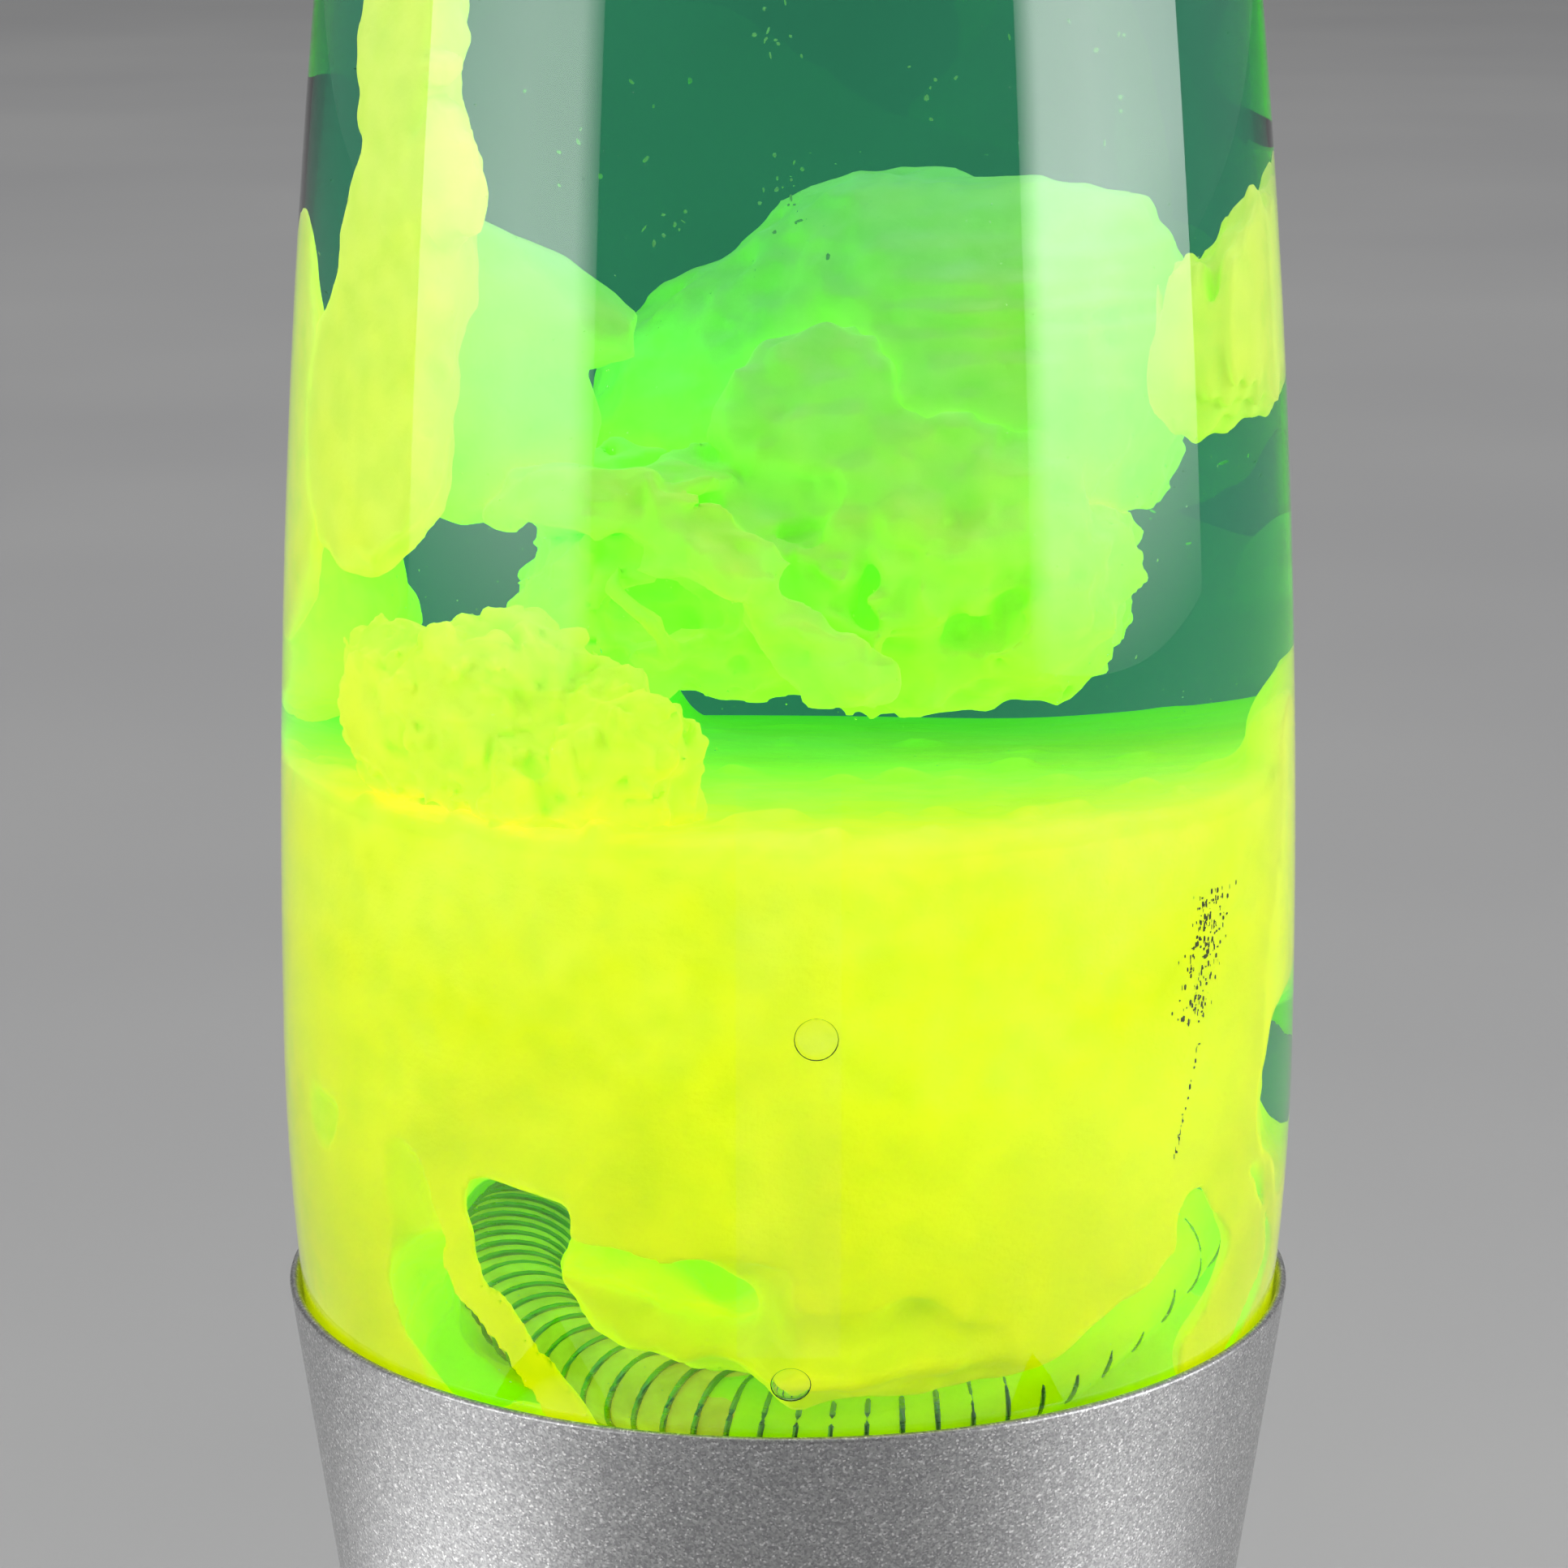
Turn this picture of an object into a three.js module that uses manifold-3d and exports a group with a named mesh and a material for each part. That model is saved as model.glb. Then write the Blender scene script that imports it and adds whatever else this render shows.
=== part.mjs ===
// A lava lamp: a sealed glass bottle of tinted liquid and wax that stands in a spun aluminium base,
// over a reflector bulb, and wears a loose metal cap. Millimetres, +Z up. The origin is on the
// lamp's axis, on the surface that its rubber feet stand on.
import * as THREE from "three";
import { mergeVertices } from "three/addons/utils/BufferGeometryUtils.js";
import Module from "manifold-3d";

const wasm = await Module();
wasm.setup();

// ---- Driving dimensions ----
const TOTAL_HEIGHT = 415;
const RIM_HEIGHT = 165; // the base cup's rim, which the bottle stands in
const RIM_RADIUS = 49.2;
const SHEET = 0.9; // spun aluminium
const CUP_TAPER = 0.143; // radius lost for each millimetre below the rim
const WAIST_HEIGHT = 58; // where cup and foot meet on the lamp plate
const FOOT_RADIUS = 56;
const FOOT_CLEARANCE = 2.5; // the foot's edge stands this far off the table
const GAP = 0.3; // between pieces that touch
const GLASS = 2.6; // bottle wall
const BOTTLE_WIDEST_RADIUS = 49.1;
const BOTTLE_WIDEST_HEIGHT = 24; // above the rim
const BOTTLE_BOTTOM = -15; // below the rim
const SHOULDER_HEIGHT = 205; // above the rim
const BOTTLE_MOUTH = 246;
const LIQUID_LEVEL = 224;
const THREAD_PITCH = 2.82; // E14
const COIL_RADIUS = 24; // the heat spring's ring
const COIL_TURN_RADIUS = 4.15;
const COIL_WIRE_RADIUS = 0.35;

const ROUND_SEGMENTS = 24; // cup, foot, bottle and cap share their facets, so that they nest
const SMALL_SEGMENTS = 16;
const THREAD_SEGMENTS = 12;
const SCREW_SEGMENTS = 8;
const HOLE_SEGMENTS = 8;
const TURN = 2 * Math.PI;

// ---- Materials ----
const material = (color, roughness, metalness = 0, opacity = 1) =>
  new THREE.MeshStandardMaterial({ color, roughness, metalness, opacity, transparent: opacity < 1 });
const SILVER_PAINT = material(0xa9a8a6, 0.45, 0.6);
const PLATED_STEEL = material(0xb9bcc0, 0.3, 1);
const BRASS = material(0xc9a24a, 0.35, 1);
const NICKEL = material(0xc4c1b8, 0.3, 1);
const BAKELITE = material(0x17161a, 0.5);
const CERAMIC = material(0xe8e4da, 0.6);
const RUBBER = material(0x1b1b1c, 0.85);
const BLACK_PLASTIC = material(0x202124, 0.55);
const CLEAR_GLASS = material(0xe8f2ee, 0.05, 0, 0.3);
const BULB_GLASS = material(0xf4f1e6, 0.3, 0, 0.8);
const TUNGSTEN = material(0x6a6760, 0.5, 1);
const LIQUID = material(0x2a8a68, 0.05, 0, 0.45);
const WAX = material(0xccf02a, 0.5);
const LINER = material(0xdedbd2, 0.7);

// ---- Shape helpers ----

// A body of revolution about Z. The [radius, height] outline starts and ends on the axis, or
// closes on itself when ring is true. Either direction round the outline will do.
function turned(outline, segments = ROUND_SEGMENTS, ring = false) {
  const points = outline.map(([r, z]) => new THREE.Vector2(r, z));
  if (THREE.ShapeUtils.area(points) < 0) points.reverse();
  if (ring) points.push(points[0].clone());
  return new THREE.LatheGeometry(points, segments).rotateX(Math.PI / 2);
}

const turnedRing = (outline, segments = ROUND_SEGMENTS) => turned(outline, segments, true);

function rod(radius, bottom, top, segments = SMALL_SEGMENTS) {
  return turned([[0, bottom], [radius, bottom], [radius, top], [0, top]], segments);
}

function tube(inner, outer, bottom, top, segments = SMALL_SEGMENTS) {
  return turnedRing([[inner, bottom], [outer, bottom], [outer, top], [inner, top]], segments);
}

// Points of a quarter ellipse about (centreR, centreZ), from the angle a to the angle b.
function arc(centreR, centreZ, radiusR, radiusZ, a, b, steps) {
  return Array.from({ length: steps + 1 }, (_, i) => {
    const angle = a + ((b - a) * i) / steps;
    return [centreR + radiusR * Math.cos(angle), centreZ + radiusZ * Math.sin(angle)];
  });
}

// A closed geometry as a manifold-3d solid: only positions, shared vertices merged.
function solid(geometry) {
  const bare = geometry.index ? geometry.toNonIndexed() : geometry.clone();
  bare.deleteAttribute("normal");
  bare.deleteAttribute("uv");
  const merged = mergeVertices(bare, 1e-4);
  const index = merged.index.array;
  const triangles = [];
  for (let i = 0; i < index.length; i += 3) {
    const [a, b, c] = [index[i], index[i + 1], index[i + 2]];
    if (a !== b && b !== c && a !== c) triangles.push(a, b, c);
  }
  return new wasm.Manifold(new wasm.Mesh({
    numProp: 3,
    vertProperties: merged.attributes.position.array,
    triVerts: new Uint32Array(triangles),
  }));
}

function geometryOf(manifold) {
  const { vertProperties, triVerts, numProp, numVert } = manifold.getMesh();
  const positions = new Float32Array(numVert * 3);
  for (let i = 0; i < numVert; i++) {
    positions.set(vertProperties.subarray(i * numProp, i * numProp + 3), i * 3);
  }
  const geometry = new THREE.BufferGeometry();
  geometry.setAttribute("position", new THREE.BufferAttribute(positions, 3));
  geometry.setIndex(new THREE.BufferAttribute(new Uint32Array(triVerts), 1));
  geometry.computeVertexNormals();
  return geometry;
}

const cut = (geometry, ...cutters) =>
  geometryOf(cutters.reduce((left, c) => left.subtract(solid(c)), solid(geometry)));

// The same geometry, copied to count places round the axis.
function aroundAxis(geometry, count, radius, firstAngle = 0) {
  return Array.from({ length: count }, (_, i) => {
    const angle = firstAngle + (i * TURN) / count;
    return geometry.clone().translate(radius * Math.cos(angle), radius * Math.sin(angle), 0);
  });
}

// A closed tube of polygonal section whose centreline is a closed loop, such as a ring-shaped spring.
function closedLoopTube(pointAt, steps, radius, sides) {
  const centres = Array.from({ length: steps }, (_, i) => pointAt(i / steps));
  const positions = [];
  centres.forEach((centre, i) => {
    const ahead = centres[(i + 1) % steps];
    const behind = centres[(i + steps - 1) % steps];
    const along = ahead.clone().sub(behind).normalize();
    const outward = ahead.clone().add(behind).multiplyScalar(-0.5).add(centre);
    const side = outward.addScaledVector(along, -outward.dot(along)).normalize();
    const other = along.clone().cross(side);
    for (let k = 0; k < sides; k++) {
      const angle = (k * TURN) / sides;
      const p = centre.clone()
        .addScaledVector(side, radius * Math.cos(angle))
        .addScaledVector(other, radius * Math.sin(angle));
      positions.push(p.x, p.y, p.z);
    }
  });
  const index = [];
  for (let i = 0; i < steps; i++) {
    const next = (i + 1) % steps;
    for (let k = 0; k < sides; k++) {
      const l = (k + 1) % sides;
      const [a, b, c, d] = [i * sides + k, i * sides + l, next * sides + k, next * sides + l];
      index.push(a, b, c, b, d, c);
    }
  }
  const geometry = new THREE.BufferGeometry();
  geometry.setAttribute("position", new THREE.Float32BufferAttribute(positions, 3));
  geometry.setIndex(index);
  return geometry;
}

function named(name, geometry, look, position = [0, 0, 0]) {
  const mesh = new THREE.Mesh(geometry, look);
  mesh.name = name;
  mesh.position.set(...position);
  return mesh;
}

// Copies of a fastener or foot, each its own mesh, evenly round the axis.
function ringOf(name, count, geometry, look, radius, height, firstAngle = 0) {
  return Array.from({ length: count }, (_, i) => {
    const angle = firstAngle + (i * TURN) / count;
    const mesh = named(`${name}_${i + 1}`, geometry, look,
      [radius * Math.cos(angle), radius * Math.sin(angle), height]);
    mesh.rotation.z = angle;
    return mesh;
  });
}

function hexagon(acrossFlats, bore, height) {
  const shape = new THREE.Shape(Array.from({ length: 6 }, (_, i) => {
    const angle = ((i + 0.5) * TURN) / 6;
    const corner = acrossFlats / 2 / Math.cos(Math.PI / 6);
    return new THREE.Vector2(corner * Math.cos(angle), corner * Math.sin(angle));
  }));
  const hole = new THREE.Path();
  hole.absarc(0, 0, bore, 0, TURN, true);
  shape.holes.push(hole);
  return new THREE.ExtrudeGeometry(shape, { depth: height, bevelEnabled: false, curveSegments: 8 });
}

// A pan-head screw standing on z = 0 by the underside of its head, with its shank along -Z.
function panHeadScrew(headRadius, headHeight, shankRadius, length) {
  return turned([
    [0, -length], [shankRadius * 0.6, -length], [shankRadius, -length + 1], [shankRadius, 0],
    [headRadius, 0], [headRadius, headHeight * 0.5], [headRadius * 0.7, headHeight], [0, headHeight],
  ], SCREW_SEGMENTS);
}

// ---- Base: spun cup and foot, clamped on the lamp plate at the waist ----
const FLANGE_INNER_RADIUS = 27;
const CLAMP_SCREW_RADIUS = 29.6;
const CLAMP_SCREW_COUNT = 3;
const PLATE_THICKNESS = 1.2;
const PLATE_BOTTOM = WAIST_HEIGHT - PLATE_THICKNESS / 2;
const PLATE_TOP = WAIST_HEIGHT + PLATE_THICKNESS / 2;
const CUP_BOTTOM = PLATE_TOP + GAP;
const FOOT_TOP = PLATE_BOTTOM - GAP;
const cupRadius = (z) => RIM_RADIUS - CUP_TAPER * (RIM_HEIGHT - z);
const WAIST_RADIUS = cupRadius(CUP_BOTTOM);
const HEM_HEIGHT = 6; // where the foot's cone turns into its hem
const FOOT_CONE_RADIUS = FOOT_RADIUS - 0.6;
const footRadius = (z) =>
  WAIST_RADIUS + ((FOOT_CONE_RADIUS - WAIST_RADIUS) * (FOOT_TOP - z)) / (FOOT_TOP - HEM_HEIGHT);
const CLAMP_HOLE_RADIUS = 1.85;
const FOOT_WALL = 1.1;
const CORNER_RADIUS = 0.8; // outside bend where a wall turns into its clamping flange

function baseCup() {
  const lip = SHEET / 2;
  const shell = turnedRing([
    [FLANGE_INNER_RADIUS, CUP_BOTTOM],
    [WAIST_RADIUS - CORNER_RADIUS, CUP_BOTTOM],
    [WAIST_RADIUS, CUP_BOTTOM + CORNER_RADIUS],
    [cupRadius(RIM_HEIGHT - lip), RIM_HEIGHT - lip],
    ...arc(RIM_RADIUS - lip, RIM_HEIGHT - lip, lip, lip, Math.PI / 4, (3 * Math.PI) / 4, 2),
    [RIM_RADIUS - SHEET, RIM_HEIGHT - lip],
    [WAIST_RADIUS - SHEET, CUP_BOTTOM + SHEET + 0.5],
    [WAIST_RADIUS - SHEET - CORNER_RADIUS, CUP_BOTTOM + SHEET],
    [FLANGE_INNER_RADIUS, CUP_BOTTOM + SHEET],
  ]);
  return cut(shell, ...clampHoles(CUP_BOTTOM, CUP_BOTTOM + SHEET));
}

// Cutters for the clamp screws' holes through a flange between two heights.
function clampHoles(bottom, top) {
  const hole = rod(CLAMP_HOLE_RADIUS, bottom - 1, top + 1, HOLE_SEGMENTS);
  return aroundAxis(hole, CLAMP_SCREW_COUNT, CLAMP_SCREW_RADIUS);
}

// The cord's inlet: a hole square to the foot's wall at the back, with a rubber grommet in it.
const INLET_HEIGHT = 17;
const INLET_HOLE_RADIUS = 5.9;
const GROMMET_BORE = 4.4;
const CONE_LEAN = Math.atan((FOOT_CONE_RADIUS - WAIST_RADIUS) / (FOOT_TOP - HEM_HEIGHT));

// Turns a body made along +Z to point out of the foot's wall at the inlet, centred on the sheet.
function placeAtInlet(object) {
  object.rotation.x = -(Math.PI / 2 - CONE_LEAN);
  object.position.set(0, footRadius(INLET_HEIGHT) - SHEET / 2, INLET_HEIGHT);
  return object;
}

function baseFoot() {
  const edge = FOOT_CLEARANCE;
  const hemTurn = HEM_HEIGHT - 1.6;
  const hemInner = FOOT_RADIUS - 3;
  const shell = turnedRing([
    [FLANGE_INNER_RADIUS, FOOT_TOP],
    [WAIST_RADIUS - CORNER_RADIUS, FOOT_TOP],
    [WAIST_RADIUS, FOOT_TOP - CORNER_RADIUS],
    [FOOT_CONE_RADIUS, HEM_HEIGHT],
    [FOOT_RADIUS, hemTurn],
    [FOOT_RADIUS, edge + 0.5],
    [FOOT_RADIUS - 0.6, edge],
    [hemInner, edge],
    [hemInner, edge + SHEET],
    [FOOT_RADIUS - FOOT_WALL, edge + SHEET],
    [FOOT_RADIUS - FOOT_WALL, hemTurn],
    [FOOT_CONE_RADIUS - FOOT_WALL, HEM_HEIGHT],
    [WAIST_RADIUS - FOOT_WALL, FOOT_TOP - FOOT_WALL],
    [WAIST_RADIUS - FOOT_WALL - 0.3, FOOT_TOP - SHEET],
    [FLANGE_INNER_RADIUS, FOOT_TOP - SHEET],
  ]);
  const inlet = placeAtInlet(new THREE.Mesh(rod(INLET_HOLE_RADIUS, -4, 4, SMALL_SEGMENTS)));
  inlet.updateMatrix();
  const inletCutter = inlet.geometry.applyMatrix4(inlet.matrix);
  return cut(shell, ...clampHoles(FOOT_TOP - SHEET, FOOT_TOP), inletCutter);
}

function grommet() {
  const neck = INLET_HOLE_RADIUS - GAP;
  const flange = INLET_HOLE_RADIUS + 2;
  const inside = -SHEET / 2 - 1.3; // the wall curves in towards the inner flange
  const outside = SHEET / 2 + GAP;
  return turnedRing([
    [GROMMET_BORE, inside - 1.4], [flange - 0.6, inside - 1.4], [flange, inside], [neck, inside],
    [neck, outside], [flange, outside], [flange - 0.6, outside + 1.3],
    [GROMMET_BORE + 0.6, outside + 1.3], [GROMMET_BORE, outside + 0.7],
  ], SMALL_SEGMENTS);
}

// The lamp plate: a flat ring clamped between cup and foot, with a well that the lamp holder sits in.
const WELL_RADIUS = 17;
const WELL_FLOOR = 44.2;
const NIPPLE_HOLE_RADIUS = 5.3;
const VENT_RADIUS = 1.9; // cooling holes in the lamp plate and the bottom cover

function lampPlate() {
  const rim = WAIST_RADIUS - 0.4;
  const well = turnedRing([
    [NIPPLE_HOLE_RADIUS, WELL_FLOOR], [WELL_RADIUS + 0.4, WELL_FLOOR],
    [WELL_RADIUS + PLATE_THICKNESS, WELL_FLOOR + 0.8], [WELL_RADIUS + PLATE_THICKNESS, PLATE_BOTTOM],
    [rim, PLATE_BOTTOM], [rim, PLATE_TOP], [WELL_RADIUS, PLATE_TOP],
    [WELL_RADIUS, WELL_FLOOR + PLATE_THICKNESS], [NIPPLE_HOLE_RADIUS, WELL_FLOOR + PLATE_THICKNESS],
  ]);
  const vent = rod(VENT_RADIUS, PLATE_BOTTOM - 1, PLATE_TOP + 1, HOLE_SEGMENTS);
  const vents = aroundAxis(vent, 8, 22.6, Math.PI / 8);
  return cut(well, ...clampHoles(PLATE_BOTTOM, PLATE_TOP), ...vents);
}

// The seat ring inside the cup, which carries the bottle by the edge of its bottom.
const SEAT_TOP = RIM_HEIGHT + BOTTLE_BOTTOM - GAP;
const SEAT_HOLE_RADIUS = 27;

function seatRing() {
  const skirt = 7;
  const wallGap = SHEET + GAP;
  const outerTop = cupRadius(SEAT_TOP) - wallGap;
  const outerBottom = cupRadius(SEAT_TOP - skirt) - wallGap;
  return turnedRing([
    [SEAT_HOLE_RADIUS, SEAT_TOP - 3.5], [SEAT_HOLE_RADIUS + SHEET, SEAT_TOP - 3.5],
    [SEAT_HOLE_RADIUS + SHEET, SEAT_TOP - SHEET], [outerTop - SHEET - 0.4, SEAT_TOP - SHEET],
    [outerBottom - SHEET, SEAT_TOP - skirt], [outerBottom, SEAT_TOP - skirt],
    [outerTop, SEAT_TOP - 0.6], [outerTop - 0.6, SEAT_TOP], [SEAT_HOLE_RADIUS + 0.8, SEAT_TOP],
    [SEAT_HOLE_RADIUS, SEAT_TOP - 0.8],
  ]);
}

// Bottom cover, its brackets and screws, and the rubber feet.
const COVER_RADIUS = FOOT_RADIUS - 3.5;
const COVER_BOTTOM = 2.8;
const COVER_THICKNESS = 1.5;
const COVER_SCREW_RADIUS = 45;
const COVER_SCREW_COUNT = 3;
const COVER_SCREW_ANGLE = Math.PI / 2 + TURN / 6;
const FOOT_PAD_COUNT = 4;

function bottomCover() {
  const disc = turned([
    [0, COVER_BOTTOM], [COVER_RADIUS - 0.4, COVER_BOTTOM], [COVER_RADIUS, COVER_BOTTOM + 0.4],
    [COVER_RADIUS, COVER_BOTTOM + COVER_THICKNESS], [0, COVER_BOTTOM + COVER_THICKNESS],
  ]);
  const low = COVER_BOTTOM - 1;
  const high = COVER_BOTTOM + COVER_THICKNESS + 1;
  const screwHoles = aroundAxis(
    rod(2.1, low, high, HOLE_SEGMENTS), COVER_SCREW_COUNT, COVER_SCREW_RADIUS, COVER_SCREW_ANGLE);
  const vent = rod(VENT_RADIUS, low, high, HOLE_SEGMENTS);
  const outerVents = aroundAxis(vent, 8, 24);
  const innerVents = aroundAxis(vent, 5, 14);
  return cut(disc, ...screwHoles, ...outerVents, ...innerVents);
}

// An L-shaped bracket, welded inside the foot's wall, whose tab the cover screws into.
// It is made about the cover screw's axis, with +X pointing outwards.
function coverBracket() {
  const tab = COVER_BOTTOM + COVER_THICKNESS + GAP;
  const clearOfWall = 0.9;
  const outer = (z) => footRadius(z) - FOOT_WALL - clearOfWall - COVER_SCREW_RADIUS;
  const shape = new THREE.Shape([
    [-6, tab], [outer(tab) - 1.6, tab], [outer(7), 6.6], [outer(18), 18], [outer(18) - 1.1, 17.6],
    [outer(7) - 1.6, 7.4], [outer(tab) - 2.8, tab + 1.2], [-6, tab + 1.2],
  ].map(([x, z]) => new THREE.Vector2(x, z)));
  const width = 12;
  const sheet = new THREE.ExtrudeGeometry(shape, { depth: width, bevelEnabled: false })
    .translate(0, 0, -width / 2)
    .rotateX(Math.PI / 2);
  return cut(sheet, rod(1.85, tab - 1, tab + 2, HOLE_SEGMENTS));
}

function baseGroup() {
  const group = new THREE.Group();
  group.add(
    named("base_cup", baseCup(), SILVER_PAINT),
    named("base_foot", baseFoot(), SILVER_PAINT),
    named("lamp_plate", lampPlate(), PLATED_STEEL),
    named("seat_ring", seatRing(), PLATED_STEEL),
    placeAtInlet(named("cord_grommet", grommet(), RUBBER)),
    named("bottom_cover", bottomCover(), BLACK_PLASTIC),
    ...ringOf("clamp_screw", CLAMP_SCREW_COUNT, panHeadScrew(2.6, 1.9, 1.5, 8.5), PLATED_STEEL,
      CLAMP_SCREW_RADIUS, CUP_BOTTOM + SHEET + GAP),
    ...ringOf("clamp_nut", CLAMP_SCREW_COUNT, hexagon(5.5, 1.85, 2.4), PLATED_STEEL,
      CLAMP_SCREW_RADIUS, FOOT_TOP - SHEET - GAP - 2.4),
    ...ringOf("cover_bracket", COVER_SCREW_COUNT, coverBracket(), PLATED_STEEL,
      COVER_SCREW_RADIUS, 0, COVER_SCREW_ANGLE),
    ...ringOf("cover_screw", COVER_SCREW_COUNT, panHeadScrew(3.2, 1.7, 1.5, 6).rotateX(Math.PI),
      PLATED_STEEL, COVER_SCREW_RADIUS, COVER_BOTTOM - GAP, COVER_SCREW_ANGLE),
    ...ringOf("rubber_foot", FOOT_PAD_COUNT, turned([
      [0, 0], [5.2, 0], [6, 0.8], [5.6, COVER_BOTTOM - GAP], [0, COVER_BOTTOM - GAP],
    ], SMALL_SEGMENTS), RUBBER, 38, 0, Math.PI / 4),
  );
  return group;
}

// ---- Lamp holder: bakelite body, brass screw shell and contact, threaded nipple ----
const HOLDER_FLOOR = WELL_FLOOR + PLATE_THICKNESS + GAP;
const HOLDER_TOP = 88;
const CORE_BOTTOM = 52.5;
const CORE_TOP = 57.5;
const BULB_TIP_HEIGHT = 61.7;

// A thin metal sleeve with rolled threads: its inner wall's crests touch radius, its pitch is E14's.
function threadedSleeve(radius, depth, wall, bottom, ridges) {
  const inner = [];
  for (let i = 0; i < ridges; i++) {
    inner.push([radius + depth, bottom + 1 + i * THREAD_PITCH]);
    inner.push([radius, bottom + 1 + (i + 0.5) * THREAD_PITCH]);
  }
  const top = bottom + 1 + ridges * THREAD_PITCH;
  const wallOf = (offset) => [
    [radius + depth + offset, bottom],
    ...inner.map(([r, z]) => [r + offset, z]),
    [radius + depth + offset, top],
  ];
  return turnedRing([...wallOf(0), ...wallOf(wall).reverse()], THREAD_SEGMENTS);
}

function holderBody() {
  return turnedRing([
    [NIPPLE_HOLE_RADIUS, HOLDER_FLOOR], [13.2, HOLDER_FLOOR], [14, HOLDER_FLOOR + 0.8],
    [14, 62], [13.4, 62.8], [13.4, HOLDER_TOP - 0.6], [12.8, HOLDER_TOP], [11.6, HOLDER_TOP],
    [11.6, CORE_BOTTOM - GAP], [10.6, CORE_BOTTOM - GAP], [10.6, 49.6], [NIPPLE_HOLE_RADIUS, 49.6],
  ], SMALL_SEGMENTS);
}

const TERMINAL_RADIUS = 8; // two terminal screws and, square to them, two holes for the wires

function holderCore() {
  const hole = rod(1.6, CORE_BOTTOM - 1, CORE_TOP + 1, HOLE_SEGMENTS);
  return cut(rod(11.2, CORE_BOTTOM, CORE_TOP), ...aroundAxis(hole, 4, TERMINAL_RADIUS));
}

function centreContact() {
  const strip = new THREE.Shape([
    [-5, CORE_TOP + GAP], [1, CORE_TOP + GAP], [-2.2, 59.4], [0, 60.6], [2, 60.9], [4, 60.2],
    [4.2, 60.6], [2, 61.4], [-0.4, 61.1], [-3.6, 59.4], [-1, CORE_TOP + GAP + 0.5],
    [-5, CORE_TOP + GAP + 0.5],
  ].map(([x, z]) => new THREE.Vector2(x, z)));
  return new THREE.ExtrudeGeometry(strip, { depth: 4, bevelEnabled: false })
    .translate(0, 0, -2)
    .rotateX(Math.PI / 2);
}

function holderGroup() {
  const group = new THREE.Group();
  const nutTop = WELL_FLOOR - GAP - 1 - GAP;
  group.add(
    named("holder_body", holderBody(), BAKELITE),
    named("holder_core", holderCore(), CERAMIC),
    named("holder_screw_shell", threadedSleeve(7.3, 0.4, 0.5, CORE_TOP + GAP, 7), BRASS),
    named("centre_contact", centreContact(), BRASS),
    named("threaded_nipple", tube(3.6, 5, 36.5, 49.4), BRASS),
    named("nipple_washer", tube(5.3, 9.5, WELL_FLOOR - GAP - 1, WELL_FLOOR - GAP), PLATED_STEEL),
    named("nipple_nut", hexagon(14, 5.3, 3.4), PLATED_STEEL, [0, 0, nutTop - 3.4]),
    ...ringOf("terminal_screw", 2, panHeadScrew(2.2, 1.4, 1.2, 4.5).rotateX(Math.PI), BRASS,
      TERMINAL_RADIUS, CORE_BOTTOM - GAP),
  );
  return group;
}

// ---- Bulb: a small reflector bulb, made above its own contact tip ----
function bulbGlass() {
  return turned([
    [0, 69.3], [8, 68.6], [15, 66.6], [18.9, 62.6], [19.5, 57.8], [18.3, 52.6], [12, 39.3],
    [8.4, 31.5], [7.4, 26], [7.4, 22.3], [6.6, 22.3], [6.6, 26.2], [7.6, 31.8], [11.2, 39.7],
    [17.5, 52.9], [18.7, 57.8], [18.1, 62.3], [14.6, 65.9], [7.8, 67.8], [0, 68.5],
  ], 20);
}

function bulbCap() {
  const wall = 0.45;
  const outside = [[5.9, 5.5], [6.5, 6]];
  for (let i = 0; i < 4; i++) {
    outside.push([6.9, 6.7 + i * THREAD_PITCH], [6.5, 6.7 + (i + 0.5) * THREAD_PITCH]);
  }
  outside.push([6.9, 18.4], [7.3, 20], [8.25, 22], [8.25, 26.3]);
  const inside = outside.map(([r, z]) => [r - wall, z]).reverse();
  return turnedRing([...outside, ...inside], THREAD_SEGMENTS);
}

// A wire of six-sided section along a curve.
function wire(radius, steps, path) {
  const corners = Array.from({ length: 6 }, (_, i) =>
    new THREE.Vector2(radius * Math.cos((i * TURN) / 6), radius * Math.sin((i * TURN) / 6)));
  return new THREE.ExtrudeGeometry(new THREE.Shape(corners), { extrudePath: path, steps, bevelEnabled: false });
}

function bulbGroup() {
  const group = new THREE.Group();
  group.position.z = BULB_TIP_HEIGHT;
  const lead = (side) => wire(0.35, 1, new THREE.LineCurve3(
    new THREE.Vector3(side * 1.2, 0, 38.4), new THREE.Vector3(side * 5.6, 0, 49)));
  const filamentArc = new THREE.CatmullRomCurve3([
    new THREE.Vector3(-6.3, 0, 49.8), new THREE.Vector3(-4, 4, 49.8), new THREE.Vector3(0, 5.6, 49.8),
    new THREE.Vector3(4, 4, 49.8), new THREE.Vector3(6.3, 0, 49.8),
  ]);
  group.add(
    named("bulb_glass", bulbGlass(), BULB_GLASS),
    named("bulb_cap", bulbCap(), NICKEL),
    named("bulb_insulator", turned([
      [0, 1.8], [3, 1.8], [5.7, 5.2], [0, 5.2],
    ], SMALL_SEGMENTS), BAKELITE),
    named("bulb_contact", turned([
      [0, 0], [1.6, 0.1], [2.4, 0.7], [2.4, 1.5], [0, 1.5],
    ], SMALL_SEGMENTS), NICKEL),
    named("bulb_stem", turned([
      [0, 22.8], [6.1, 22.8], [6.1, 23.6], [2.2, 26.5], [2.2, 38], [0, 38],
    ], SCREW_SEGMENTS), CLEAR_GLASS),
    named("lead_wire_1", lead(-1), NICKEL),
    named("lead_wire_2", lead(1), NICKEL),
    named("filament", wire(0.45, 8, filamentArc), TUNGSTEN),
  );
  return group;
}

// ---- Bottle: glass, crown cap, liquid, wax and heat spring. Heights are above the rim ----

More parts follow.
